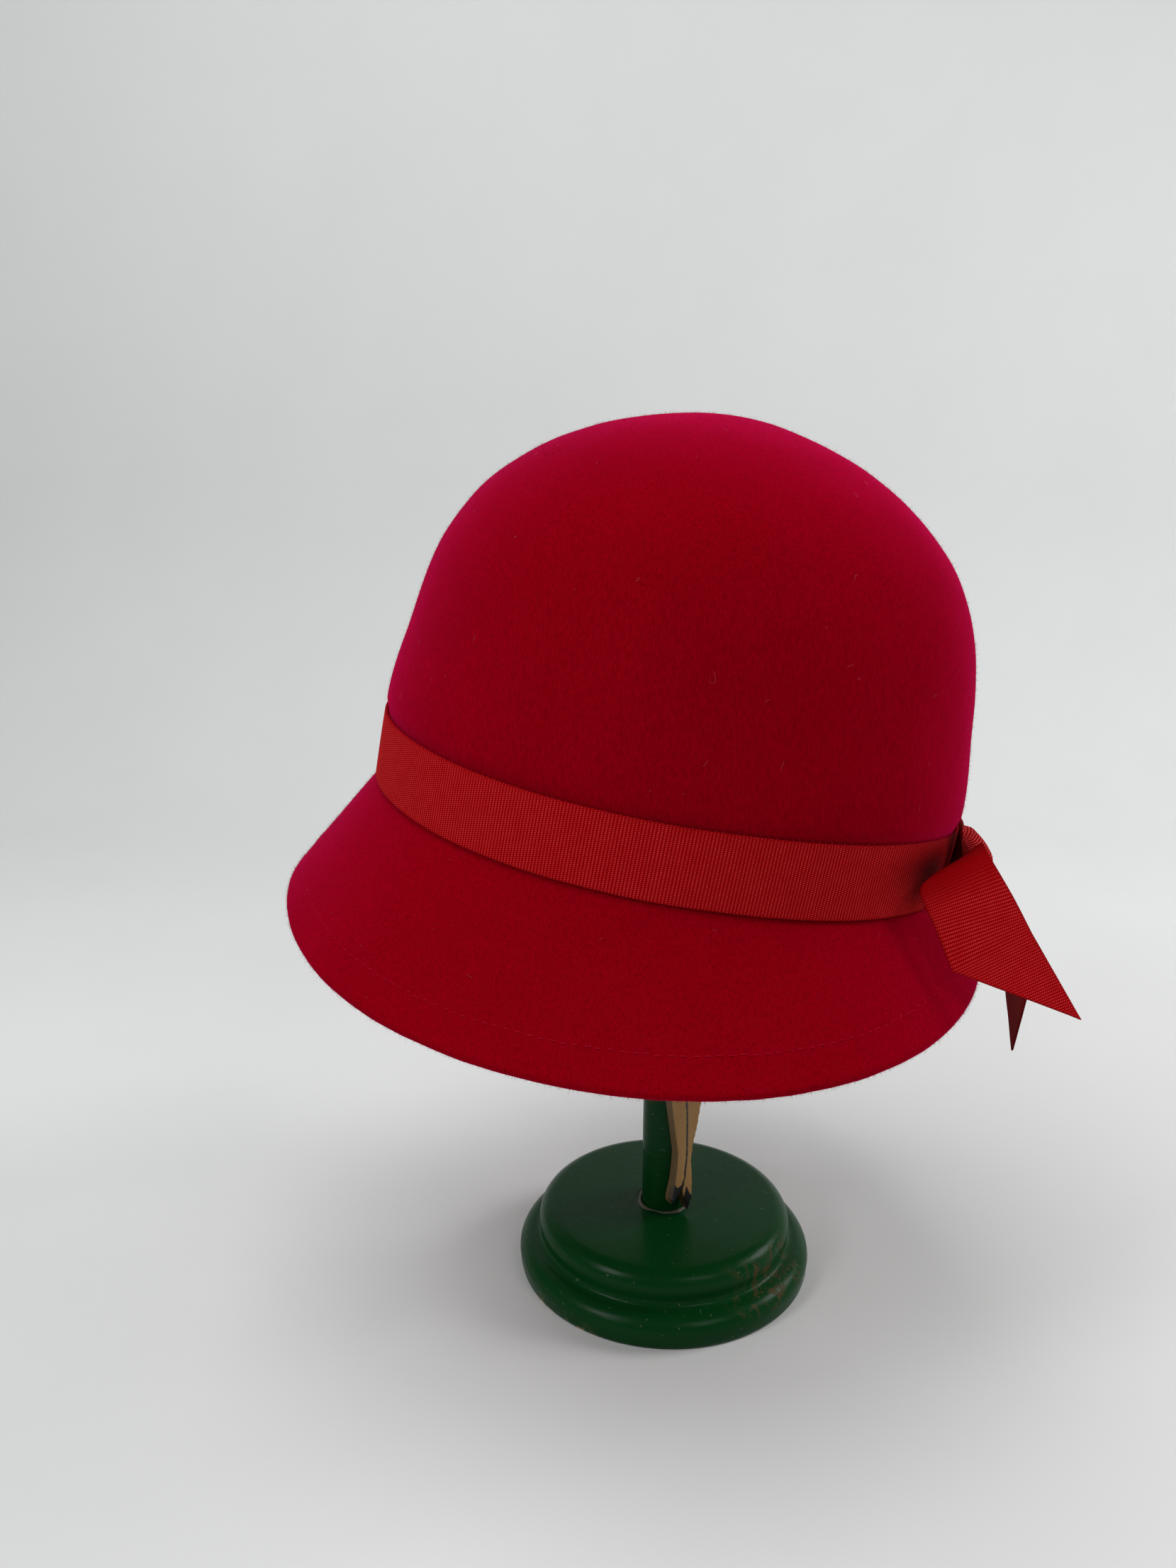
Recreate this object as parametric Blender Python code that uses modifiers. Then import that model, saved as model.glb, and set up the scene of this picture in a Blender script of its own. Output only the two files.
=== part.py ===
"""A red felt cloche hat with a ribbon band and a bow at the back, on its turned wooden stand.

Metres, +Z up. The wearer faces -Y and their left is +X. The origin is the centre of the
stand's underside. The hat has a frame of its own, whose origin is the middle of the crown's
lower edge: x to the wearer's left, y to the back and z up through the crown.
"""
import math

import bmesh
import bpy
import numpy as np
from mathutils import Quaternion, Vector
from mathutils.bvhtree import BVHTree

MM = 0.001

# The hat's felt, measured outside at the crown's lower edge.
HEAD_LENGTH = 199.8 * MM
HEAD_WIDTH = 170.8 * MM
CROWN_HEIGHT = 138.2 * MM
FELT = 2.0 * MM
BRIM_LENGTH = 55.0 * MM
HEM_DEPTH = 10.0 * MM
HEM_THICKNESS = 3.4 * MM

# The ribbon of the band and the bow.
RIBBON_WIDTH = 23.5 * MM
RIBBON = 1.0 * MM
BAND_PRESS = 1.1 * MM
PRESS_FADE = 4.0 * MM
KNOT_WIDTH = 17.0 * MM
KNOT_SHIFT = 1.4 * MM
KNOT_DEPTH = 13.2 * MM
KNOT_OVERHANG = 1.2 * MM

# The stand.
BASE_RADIUS = 55.0 * MM
BASE_HEIGHT = 23.3 * MM
STEP_RADIUS = 47.4 * MM
STEP_FOOT = 13.4 * MM
STEP_ROUND = 6.0 * MM
FOOT_ROUND = 5.8 * MM
FOOT_MIDDLE = 5.3 * MM
FOOT_INSET = 0.6 * MM
POST_RADIUS = 8.2 * MM
SOCKET_DEPTH = 14.0 * MM
CAP_RADIUS = 38.0 * MM
CAP_CURVE = 46.0 * MM
CAP_EDGE = 4.0 * MM
CAP_NECK = 14.0 * MM
CAP_NECK_DEPTH = 12.0 * MM
BOARD_THICKNESS = 4.5 * MM
BOARD_WIDTH = 13.5 * MM
BOARD_HEIGHT = 138.0 * MM
BOARD_LIFT = 1.7 * MM

# How the hat sits on the stand, and the room left between pieces.
HAT_PLACE = Vector((1.4 * MM, -5.5 * MM, 174.2 * MM))
LEAN_DEG = 10.7
LEAN_TURN_DEG = 15
BOARD_TURN_DEG = 45
GAP = 0.3 * MM

AROUND = 52
TURNED_STEPS = 56
ARC_POINTS = 6

# The crown from its lower edge to its top, in equal steps of climb: girth over that at the edge.
CROWN_GIRTH = (1.0, 1.001, 0.967, 0.919, 0.825, 0.666, 0.455, 0.216, 0.0)

# The brim from the front round to the back: its length over BRIM_LENGTH, its slope below the
# level, and how far its seam with the crown dips, over RIBBON_WIDTH.
BRIM_COLUMNS = ("turn_deg", "length", "slope_deg", "dip")
BRIM_TABLE = (
    (0, 0.855, 60.0, 0.0),
    (45, 0.992, 58.8, 0.103),
    (90, 1.010, 56.2, 0.126),
    (135, 0.811, 48.0, 0.023),
    (180, 0.532, 46.5, 0.0),
)

# The bow's two tails from the knot to the tip, as places of their two edges over RIBBON_WIDTH:
# to the wearer's left, out from the band, and up from the band's middle.
TAIL_COLUMNS = ("a_side", "a_out", "a_up", "b_side", "b_out", "b_up")
NEAR_TAIL = (
    (0.34, 0.20, 0.25, 0.34, 0.08, -0.15),
    (0.60, 0.17, 0.28, 0.66, 0.03, -0.12),
    (0.82, 0.23, 0.49, 0.97, -0.02, 0.22),
    (1.23, 0.32, 0.42, 1.80, -0.47, -0.07),
    (1.46, 0.77, -0.05, 1.93, -0.17, -0.51),
    (1.57, 1.02, -0.34, 2.07, 0.14, -0.95),
    (1.88, 1.82, -1.19, 1.89, 1.78, -1.18),
)
FAR_TAIL = (
    (0.30, 0.44, -0.33, -0.38, 0.44, -0.31),
    (0.42, 0.66, -0.50, -0.43, 0.68, -0.48),
    (0.52, 0.88, -0.84, -0.47, 0.90, -0.82),
    (0.56, 1.16, -1.22, -0.45, 1.06, -1.28),
    (0.57, 1.37, -1.53, -0.43, 1.17, -1.61),
    (-0.36, 1.56, -2.66, -0.40, 1.56, -2.70),
)

# The roll of ribbon around the bow's middle. Its outline at the middle, from below to above:
# up from the band's middle over half its height, out over KNOT_DEPTH, and what share of a
# section's drop it takes, which is none at the flap's edges.
ROLL_COLUMNS = ("up", "out", "drop")
ROLL_OUTLINE = (
    (-1.0, 0.08, 0.0),
    (-0.92, 0.25, 0.5),
    (-0.75, 0.55, 1.0),
    (-0.50, 0.84, 1.0),
    (-0.25, 0.96, 1.0),
    (0.0, 1.0, 1.0),
    (0.20, 0.98, 1.0),
    (0.45, 0.82, 1.0),
    (0.65, 0.61, 1.0),
    (0.76, 0.46, 1.0),
    (0.84, 0.33, 1.0),
    (0.86, 0.12, 1.0),
    (1.0, 0.06, 0.0),
)

# The roll from the wearer's right to their left: across over half of KNOT_WIDTH, how far it
# drops towards the band's middle there, and how deep it is over its depth at the middle.
SECTION_COLUMNS = ("across", "drop", "deep")
ROLL_SECTIONS = (
    (-1.0, 0.20, 0.45),
    (-0.85, 0.13, 0.85),
    (-0.4, 0.03, 1.02),
    (0.0, 0.0, 1.0),
    (0.4, 0.03, 0.97),
    (0.8, 0.12, 0.85),
    (1.0, 0.24, 0.50),
)

# The board's edge from its top left down round the two feet and up again: across it over
# BOARD_WIDTH, and up it over BOARD_HEIGHT.
BOARD_COLUMNS = ("across", "up")
BOARD_OUTLINE = (
    (-0.62, 1.0),
    (-0.60, 0.62),
    (-0.44, 0.348),
    (-0.32, 0.268),
    (-0.18, 0.178),
    (-0.19, 0.146),
    (-0.25, 0.094),
    (-0.37, 0.045),
    (-0.36, 0.032),
    (-0.20, 0.046),
    (-0.04, 0.074),
    (0.03, 0.042),
    (0.16, 0.0),
    (0.29, 0.036),
    (0.30, 0.078),
    (0.24, 0.147),
    (0.28, 0.187),
    (0.44, 0.250),
    (0.56, 0.321),
    (0.70, 0.62),
    (0.72, 1.0),
)


def rows(columns, table):
    return [dict(zip(columns, row)) for row in table]


def smooth(knots, values, at):
    """Curve through values at the knots that never swings past them, read at each of at."""
    knots, values, at = (np.asarray(v, float) for v in (knots, values, at))
    flat = values.reshape(len(knots), -1)
    steps = np.diff(knots)[:, None]
    rises = np.diff(flat, axis=0) / steps
    slopes = np.concatenate([rises[:1], (rises[1:] + rises[:-1]) / 2, rises[-1:]])
    same = rises[1:] * rises[:-1] > 0
    safe = np.where(same, rises[1:] + rises[:-1], 1)
    slopes[1:-1] = np.where(same, 2 * rises[1:] * rises[:-1] / safe, 0)
    span = np.clip(np.searchsorted(knots, at) - 1, 0, len(knots) - 2)
    step = steps[span]
    share = (at - knots[span])[:, None] / step
    rise = share ** 2 * (3 - 2 * share)
    leave = share * (1 - share) ** 2 * step
    arrive = share ** 2 * (share - 1) * step
    read = flat[span] * (1 - rise) + flat[span + 1] * rise + slopes[span] * leave + slopes[span + 1] * arrive
    return read.reshape((len(at),) + values.shape[1:])


def even_waves(turns, values):
    """Coefficients of the sum of cosines that passes through values at the turns."""
    waves = np.cos(np.outer(np.radians(turns), range(len(turns))))
    return np.linalg.solve(waves, values)


BRIM_ROWS = rows(BRIM_COLUMNS, BRIM_TABLE)
BRIM_WAVES = {
    name: even_waves([row["turn_deg"] for row in BRIM_ROWS], [row[name] for row in BRIM_ROWS])
    for name in BRIM_COLUMNS[1:]
}


def brim_value(name, turn):
    return float(BRIM_WAVES[name] @ np.cos(turn * np.arange(len(BRIM_ROWS))))


def level_out(turn):
    """Level direction out of the hat's oval at a turn from the front to the wearer's left."""
    return Vector((math.sin(turn) * HEAD_LENGTH / HEAD_WIDTH, -math.cos(turn), 0)).normalized()


def seam_height(turn):
    return -brim_value("dip", turn) * RIBBON_WIDTH


def band_press(height):
    """How far the ribbon draws the felt in at a height over the seam."""
    above = min(max((height - RIBBON_WIDTH) / PRESS_FADE, 0), 1)
    return BAND_PRESS * (1 - above ** 2 * (3 - 2 * above))


def crown_point(turn, climb):
    """Outer face of the crown: climb runs from 0 at the seam to 1 at the top."""
    steps = np.linspace(0, 1, len(CROWN_GIRTH))
    girth = float(smooth(steps, CROWN_GIRTH, [climb])[0])
    seam = seam_height(turn)
    height = (CROWN_HEIGHT - seam) * math.sin(math.pi / 2 * climb)
    oval = Vector((HEAD_WIDTH / 2 * math.sin(turn), -HEAD_LENGTH / 2 * math.cos(turn), 0))
    return oval * girth - level_out(turn) * band_press(height) + Vector((0, 0, seam + height))


def brim_length(turn):
    return brim_value("length", turn) * BRIM_LENGTH - HEM_THICKNESS / 2


def brim_point(turn, along):
    """Outer face of the brim: along runs from 0 at the seam to 1 at the edge."""
    slope = math.radians(brim_value("slope_deg", turn))
    run = brim_length(turn) * along
    down = Vector((0, 0, -run * math.sin(slope)))
    return crown_point(turn, 0) + level_out(turn) * run * math.cos(slope) + down


def felt_point(turn, along):
    """Outer face of the felt: -1 is the top of the crown, 0 the seam and 1 the brim's edge."""
    return crown_point(turn, -along) if along < 0 else brim_point(turn, along)


def felt_normal(turn, along):
    reach = 0.01
    low, high = max(along - reach, -0.999), min(along + reach, 1.0)
    across = felt_point(turn + reach, along) - felt_point(turn - reach, along)
    down = felt_point(turn, high) - felt_point(turn, low)
    return across.cross(down).normalized() * -1


def turns():
    return [2 * math.pi * i / AROUND for i in range(AROUND)]


def loft(rings, first=None, last=None, closed=False):
    """Faces between neighbouring rings; an end point closes that end in a fan."""
    bm = bmesh.new()
    loops = [[bm.verts.new(point) for point in ring] for ring in rings]
    if closed:
        loops.append(loops[0])
    for low, high in zip(loops, loops[1:]):
        for i in range(len(low)):
            j = (i + 1) % len(low)
            bm.faces.new((low[i], low[j], high[j], high[i]))
    for point, loop in ((first, loops[0]), (last, loops[-1])):
        if point is not None:
            tip = bm.verts.new(point)
            for i in range(len(loop)):
                bm.faces.new((tip, loop[i], loop[(i + 1) % len(loop)]))
    bmesh.ops.recalc_face_normals(bm, faces=bm.faces)
    return bm


def material(name, colour, roughness, metallic=0.0):
    made = bpy.data.materials.new(name)
    made.use_nodes = True
    shader = made.node_tree.nodes["Principled BSDF"]
    shader.inputs["Base Color"].default_value = (*colour, 1)
    shader.inputs["Roughness"].default_value = roughness
    shader.inputs["Metallic"].default_value = metallic
    return made


def piece(name, bm, finish, collection, parent=None):
    mesh = bpy.data.meshes.new(name)
    bm.to_mesh(mesh)
    bm.free()
    mesh.materials.append(finish)
    mesh.shade_smooth()
    made = bpy.data.objects.new(name, mesh)
    made.parent = parent
    collection.objects.link(made)
    return made


def band_climb(height):
    return math.asin(height / CROWN_HEIGHT) * 2 / math.pi


def felt_hat(collection, parent, finish):
    """Crown and brim in one shell of felt, with the brim's edge turned under."""
    climbs = [1 - i / 13 for i in range(1, 11)]
    climbs += [band_climb(RIBBON_WIDTH + PRESS_FADE * share) for share in (1.5, 1, 0.67, 0.33, 0)]
    climbs += [band_climb(RIBBON_WIDTH / 2)]
    tops = [-climb for climb in climbs]
    plain = tops + [0.0] + [0.14, 0.32, 0.5, 0.66, 0.78]

    def inner(turn, along, thickness):
        return felt_point(turn, along) - felt_normal(turn, along) * thickness

    outer_rings = [
        [felt_point(turn, along) for turn in turns()] for along in plain + [0.86, 0.93, 1.0]
    ]
    edge_rings = []
    for angle in (45, 90, 135):
        ring = []
        for turn in turns():
            face, normal = felt_point(turn, 1.0), felt_normal(turn, 1.0)
            down = (face - felt_point(turn, 0.97)).normalized()
            middle = face - normal * HEM_THICKNESS / 2
            swing = math.radians(angle)
            ring.append(middle + (normal * math.cos(swing) + down * math.sin(swing)) * HEM_THICKNESS / 2)
        edge_rings.append(ring)

    def hem_start(turn, beyond=0.0):
        return 1 - (HEM_DEPTH + beyond) / brim_length(turn)

    inner_rings = [
        [inner(turn, 1.0, HEM_THICKNESS) for turn in turns()],
        [inner(turn, hem_start(turn), HEM_THICKNESS) for turn in turns()],
        [inner(turn, hem_start(turn, FELT / 3), FELT) for turn in turns()],
    ]
    for share in (0.75, 0.5, 0.25):
        inner_rings.append([inner(turn, share * hem_start(turn), FELT) for turn in turns()])
    inner_rings += [[inner(turn, along, FELT) for turn in turns()] for along in reversed(tops + [0.0])]
    top = crown_point(0, 1)
    bm = loft(outer_rings + edge_rings + inner_rings, first=top, last=top - Vector((0, 0, FELT)))
    return piece("felt_hat", bm, finish, collection, parent)


def band_point(turn, height, offset):
    """A point off the crown's face at a height above the seam."""
    seam = seam_height(turn)
    climb = math.asin(height / (CROWN_HEIGHT - seam)) * 2 / math.pi
    point = crown_point(turn, climb)
    return point + felt_normal(turn, -max(climb, 0.02)) * offset


def ribbon_band(collection, parent, finish):
    """The band around the crown, from just above the seam."""
    heights = [GAP + RIBBON_WIDTH * share for share in (0, 0.25, 0.5, 0.75, 1)]
    section = [(height, GAP) for height in heights]
    section += [(height, GAP + RIBBON) for height in reversed(heights)]
    rings = [
        [band_point(turn, height, offset) for turn in turns()] for height, offset in section
    ]
    return piece("ribbon_band", loft(rings, closed=True), finish, collection, parent)


def bow_place(side, out, up):
    """A place on the bow: shares of RIBBON_WIDTH from the middle of the band at the back."""
    seat = HEAD_LENGTH / 2 + GAP + RIBBON
    return Vector((side * RIBBON_WIDTH, seat + out * RIBBON_WIDTH, (0.5 + up) * RIBBON_WIDTH))


def ribbon_knot(collection, parent, finish):
    """The roll that holds the bow to the band, lofted across its width and level against the band."""
    half_height = RIBBON_WIDTH / 2 + KNOT_OVERHANG
    outline = rows(ROLL_COLUMNS, ROLL_OUTLINE)
    outline += [{"up": up, "out": 0, "drop": 0} for up in (0.6, 0.2, -0.2, -0.6)]
    rings = []
    for section in rows(SECTION_COLUMNS, ROLL_SECTIONS):
        side = section["across"] * KNOT_WIDTH / 2 - KNOT_SHIFT
        turn = math.pi - math.asin(side * 2 / HEAD_WIDTH)
        ring = []
        for place in outline:
            up = place["up"] * (1 - place["drop"] * section["drop"])
            height = RIBBON_WIDTH / 2 + GAP + up * half_height
            out = place["out"] * section["deep"] * KNOT_DEPTH
            ring.append(band_point(turn, height, 2 * GAP + RIBBON + out))
        rings.append(ring)
    ends = [sum(ring, Vector()) / len(ring) for ring in (rings[0], rings[-1])]
    return piece("ribbon_knot", loft(rings, first=ends[0], last=ends[1]), finish, collection, parent)


def ribbon_tail(name, table, collection, parent, finish):
    """A tail as a sheet between the two edges that its table gives, cut straight to its tip."""
    stations = rows(TAIL_COLUMNS, table)
    edges = np.array([
        [*bow_place(s["a_side"], s["a_out"], s["a_up"]), *bow_place(s["b_side"], s["b_out"], s["b_up"])]
        for s in stations
    ])
    body, tip = edges[:-1], edges[-1]
    middles = (body[:, :3] + body[:, 3:]) / 2
    knots = np.concatenate([[0], np.cumsum(np.linalg.norm(np.diff(middles, axis=0), axis=1))])
    along = np.interp(np.linspace(0, len(knots) - 1, 4 * len(knots) - 3), range(len(knots)), knots)
    cut = [body[-1] + (tip - body[-1]) * share for share in (0.33, 0.67, 1)]
    lines = np.concatenate([smooth(knots, body, along), cut])
    bm = bmesh.new()
    shares = np.linspace(0, 1, 5)
    grid = [
        [bm.verts.new(line[:3] * (1 - share) + line[3:] * share) for share in shares]
        for line in lines
    ]
    for near, far in zip(grid, grid[1:]):
        for i in range(len(shares) - 1):
            bm.faces.new((near[i], near[i + 1], far[i + 1], far[i]))
    made = piece(name, bm, finish, collection, parent)
    solid = made.modifiers.new("cloth", "SOLIDIFY")
    solid.thickness = RIBBON
    solid.offset = 0
    return made


def turned(name, profile, collection, finish, height=0.0):
    """A solid turned about +Z from a profile of (radius, height) that runs down its outer side."""
    mesh = bpy.data.meshes.new(name)
    points = [(radius, 0, up) for radius, up in profile]
    mesh.from_pydata(points, [(i, i + 1) for i in range(len(points) - 1)], [])
    mesh.materials.append(finish)
    made = bpy.data.objects.new(name, mesh)
    made.location.z = height
    collection.objects.link(made)
    screw = made.modifiers.new("turn", "SCREW")
    screw.steps = screw.render_steps = TURNED_STEPS
    screw.use_merge_vertices = True
    screw.merge_threshold = 0.00001
    screw.use_smooth_shade = True
    return made


def arc(middle, radius, start_deg, end_deg):
    """Points of (radius, height) on an arc, its angles measured from straight out."""
    angles = np.radians(np.linspace(start_deg, end_deg, ARC_POINTS))
    return [(middle[0] + radius * math.cos(a), middle[1] + radius * math.sin(a)) for a in angles]


def stand_base(collection, finish):
    """Two round steps with soft edges, and the hole that the post stands in."""
    hole = POST_RADIUS + GAP
    floor = BASE_HEIGHT - SOCKET_DEPTH
    foot_top = FOOT_MIDDLE + FOOT_ROUND
    profile = [(0, floor), (hole, floor), (hole, BASE_HEIGHT)]
    profile += arc((STEP_RADIUS - STEP_ROUND, BASE_HEIGHT - STEP_ROUND), STEP_ROUND, 90, 0)
    profile += [(STEP_RADIUS - FOOT_INSET, STEP_FOOT), (STEP_RADIUS + FOOT_INSET, foot_top + GAP)]
    profile += arc((BASE_RADIUS - FOOT_ROUND, FOOT_MIDDLE), FOOT_ROUND, 90, 0)
    profile += [(BASE_RADIUS - FOOT_INSET, FOOT_INSET), (BASE_RADIUS - 2 * FOOT_INSET, 0), (0, 0)]
    return turned("stand_base", profile, collection, finish)


def cap_dome(radius):
    """How far the cap's face has dropped at a radius from its middle."""
    return CAP_CURVE - math.sqrt(CAP_CURVE ** 2 - radius ** 2)


def cap_top(hat):
    """The height that lifts the cap until it all but touches the felt inside the crown."""
    graph = bpy.context.evaluated_depsgraph_get()
    tree = BVHTree.FromObject(hat, graph)
    into_hat = hat.matrix_world.inverted()
    up = (into_hat.to_3x3() @ Vector((0, 0, 1))).normalized()
    room = []
    for ring in range(13):
        radius = CAP_RADIUS * ring / 12
        for step in range(TURNED_STEPS):
            angle = 2 * math.pi * step / TURNED_STEPS
            start = Vector((radius * math.cos(angle), radius * math.sin(angle), HAT_PLACE.z))
            hit, _, _, _ = tree.ray_cast(into_hat @ start, up)
            room.append((hat.matrix_world @ hit).z + cap_dome(radius))
    return min(room) - GAP


def stand_cap(collection, finish, top):
    """The dome inside the crown that carries the hat."""
    hole = POST_RADIUS + GAP
    rim = CAP_RADIUS - CAP_EDGE
    edge = -cap_dome(rim) - CAP_EDGE
    profile = [(rim * i / 6, -cap_dome(rim * i / 6)) for i in range(7)]
    profile += arc((rim, edge), CAP_EDGE, 50, -90)
    foot = edge - CAP_EDGE - CAP_NECK_DEPTH
    profile += [(CAP_NECK, edge - CAP_EDGE), (CAP_NECK, foot), (hole, foot)]
    profile += [(hole, foot + SOCKET_DEPTH), (0, foot + SOCKET_DEPTH)]
    made = turned("stand_cap", profile, collection, finish, top)
    return made, top + foot + SOCKET_DEPTH


def stand_post(collection, finish, top):
    bottom = BASE_HEIGHT - SOCKET_DEPTH + GAP
    profile = [(0, top - GAP), (POST_RADIUS, top - GAP), (POST_RADIUS, bottom), (0, bottom)]
    return turned("stand_post", profile, collection, finish)


def stand_board(collection, finish):
    """The flat board against the post, narrow at the ankles and parted at the two feet."""
    curve = bpy.data.curves.new("stand_board", "CURVE")
    curve.dimensions = "2D"
    curve.fill_mode = "BOTH"
    curve.extrude = BOARD_THICKNESS / 2
    outline = rows(BOARD_COLUMNS, BOARD_OUTLINE)
    spline = curve.splines.new("POLY")
    spline.points.add(len(outline) - 1)
    for point, row in zip(spline.points, outline):
        point.co = (row["across"] * BOARD_WIDTH, row["up"] * BOARD_HEIGHT, 0, 1)
    spline.use_cyclic_u = True
    curve.materials.append(finish)
    made = bpy.data.objects.new("stand_board", curve)
    away = POST_RADIUS + GAP + BOARD_THICKNESS / 2
    turn = math.radians(BOARD_TURN_DEG)
    made.location = (away * math.cos(turn), away * math.sin(turn), BASE_HEIGHT + BOARD_LIFT)
    made.rotation_euler = (math.pi / 2, 0, math.pi / 2 + turn)
    collection.objects.link(made)
    return made


def hat_frame(collection):
    """The hat leans back and a little to the wearer's right."""
    made = bpy.data.objects.new("hat_frame", None)
    made.location = HAT_PLACE
    made.rotation_mode = "QUATERNION"
    turn = math.radians(LEAN_TURN_DEG)
    axis = Vector((-math.cos(turn), -math.sin(turn), 0))
    made.rotation_quaternion = Quaternion(axis, math.radians(LEAN_DEG))
    collection.objects.link(made)
    return made


def main():
    for old in list(bpy.data.objects):
        bpy.data.objects.remove(old)
    collection = bpy.data.collections.new("cloche_hat_on_stand")
    bpy.context.scene.collection.children.link(collection)

    felt = material("felt", (0.225, 0.002, 0.010), 0.95)
    ribbon = material("ribbon", (0.290, 0.006, 0.010), 0.70)
    paint = material("paint", (0.006, 0.045, 0.018), 0.35)
    wood = material("wood", (0.37, 0.20, 0.055), 0.75)

    frame = hat_frame(collection)
    hat = felt_hat(collection, frame, felt)
    ribbon_band(collection, frame, ribbon)
    ribbon_knot(collection, frame, ribbon)
    ribbon_tail("ribbon_tail_near", NEAR_TAIL, collection, frame, ribbon)
    ribbon_tail("ribbon_tail_far", FAR_TAIL, collection, frame, ribbon)
    bpy.context.view_layer.update()

    stand_base(collection, paint)
    _, post_top = stand_cap(collection, paint, cap_top(hat))
    stand_post(collection, paint, post_top)
    stand_board(collection, wood)


main()
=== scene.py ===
"""Looks of the red felt cloche on its stand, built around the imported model.

Metres, +Z up. The hat has its own frame, as in the model: x to the wearer's left, y to the back
and z up through the crown, from the middle of the crown's lower edge.
"""
import math

import bmesh
import bpy
import numpy as np
from mathutils import Matrix, Quaternion, Vector


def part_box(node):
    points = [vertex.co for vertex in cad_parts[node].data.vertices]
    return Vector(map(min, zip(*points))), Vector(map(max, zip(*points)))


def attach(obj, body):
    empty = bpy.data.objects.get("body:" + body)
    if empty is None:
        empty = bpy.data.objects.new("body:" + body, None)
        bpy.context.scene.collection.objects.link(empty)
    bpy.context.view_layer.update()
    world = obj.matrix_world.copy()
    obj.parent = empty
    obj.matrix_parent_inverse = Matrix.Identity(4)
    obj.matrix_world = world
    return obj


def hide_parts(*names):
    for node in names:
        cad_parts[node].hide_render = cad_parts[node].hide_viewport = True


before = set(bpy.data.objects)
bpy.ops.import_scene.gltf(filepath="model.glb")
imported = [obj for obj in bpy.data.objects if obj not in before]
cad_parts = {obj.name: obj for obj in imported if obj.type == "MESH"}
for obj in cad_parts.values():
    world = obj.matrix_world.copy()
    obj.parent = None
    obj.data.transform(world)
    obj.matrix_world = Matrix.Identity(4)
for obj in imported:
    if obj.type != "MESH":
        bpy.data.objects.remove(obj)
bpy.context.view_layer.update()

MM = 0.001
PHOTO_HEIGHT = 2212
CAMERA_TURN = math.radians(15)

# Sizes shared with the model
HEAD_LENGTH = 199.8 * MM
HEAD_WIDTH = 170.8 * MM
CROWN_HEIGHT = 138.2 * MM
FELT = 2.0 * MM
BRIM_LENGTH = 55.0 * MM
HEM_DEPTH = 10.0 * MM
HEM_THICKNESS = 3.4 * MM
RIBBON_WIDTH = 23.5 * MM
RIBBON = 1.0 * MM
BAND_PRESS = 1.1 * MM
PRESS_FADE = 4.0 * MM
KNOT_WIDTH = 17.0 * MM
KNOT_SHIFT = 1.4 * MM
KNOT_DEPTH = 13.2 * MM
KNOT_OVERHANG = 1.2 * MM
GAP = 0.3 * MM
HAT_PLACE = Vector((1.4 * MM, -5.5 * MM, 174.2 * MM))
LEAN = math.radians(10.7)
LEAN_TURN = math.radians(15)
CROWN_GIRTH = (1.0, 1.001, 0.967, 0.919, 0.825, 0.666, 0.455, 0.216, 0.0)
BRIM_TABLE = np.array((
    (0, 0.855, 60.0, 0.0),
    (45, 0.992, 58.8, 0.103),
    (90, 1.010, 56.2, 0.126),
    (135, 0.811, 48.0, 0.023),
    (180, 0.532, 46.5, 0.0),
))
NEAR_TAIL = np.array((
    (0.34, 0.20, 0.25, 0.34, 0.08, -0.15),
    (0.60, 0.17, 0.28, 0.66, 0.03, -0.12),
    (0.82, 0.23, 0.49, 0.97, -0.02, 0.22),
    (1.23, 0.32, 0.42, 1.80, -0.47, -0.07),
    (1.46, 0.77, -0.05, 1.93, -0.17, -0.51),
    (1.57, 1.02, -0.34, 2.07, 0.14, -0.95),
    (1.88, 1.82, -1.19, 1.89, 1.78, -1.18),
))
FAR_TAIL = np.array((
    (0.30, 0.44, -0.33, -0.38, 0.44, -0.31),
    (0.42, 0.66, -0.50, -0.43, 0.68, -0.48),
    (0.52, 0.88, -0.84, -0.47, 0.90, -0.82),
    (0.56, 1.16, -1.22, -0.45, 1.06, -1.28),
    (0.57, 1.37, -1.53, -0.43, 1.17, -1.61),
    (-0.36, 1.56, -2.66, -0.40, 1.56, -2.70),
))
ROLL_OUTLINE = np.array((
    (-1.0, 0.08, 0.0), (-0.92, 0.25, 0.5), (-0.75, 0.55, 1.0), (-0.50, 0.84, 1.0),
    (-0.25, 0.96, 1.0), (0.0, 1.0, 1.0), (0.20, 0.98, 1.0), (0.45, 0.82, 1.0), (0.65, 0.61, 1.0),
    (0.76, 0.46, 1.0), (0.84, 0.33, 1.0), (0.86, 0.12, 1.0), (1.0, 0.06, 0.0),
))
ROLL_SECTIONS = np.array((
    (-1.0, 0.20, 0.45), (-0.85, 0.13, 0.85), (-0.4, 0.03, 1.02), (0.0, 0.0, 1.0), (0.4, 0.03, 0.97),
    (0.8, 0.12, 0.85), (1.0, 0.24, 0.50),
))
BASE_RADIUS = 55.0 * MM
BASE_HEIGHT = 23.3 * MM
STEP_RADIUS = 47.4 * MM
STEP_FOOT = 13.4 * MM
STEP_ROUND = 6.0 * MM
FOOT_ROUND = 5.8 * MM
FOOT_MIDDLE = 5.3 * MM
FOOT_INSET = 0.6 * MM
SOCKET_DEPTH = 14.0 * MM
POST_RADIUS = 8.2 * MM
BOARD_THICKNESS = 4.5 * MM
BOARD_WIDTH = 13.5 * MM
BOARD_HEIGHT = 138.0 * MM
BOARD_LIFT = 1.7 * MM
BOARD_TURN = math.radians(45)
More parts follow.
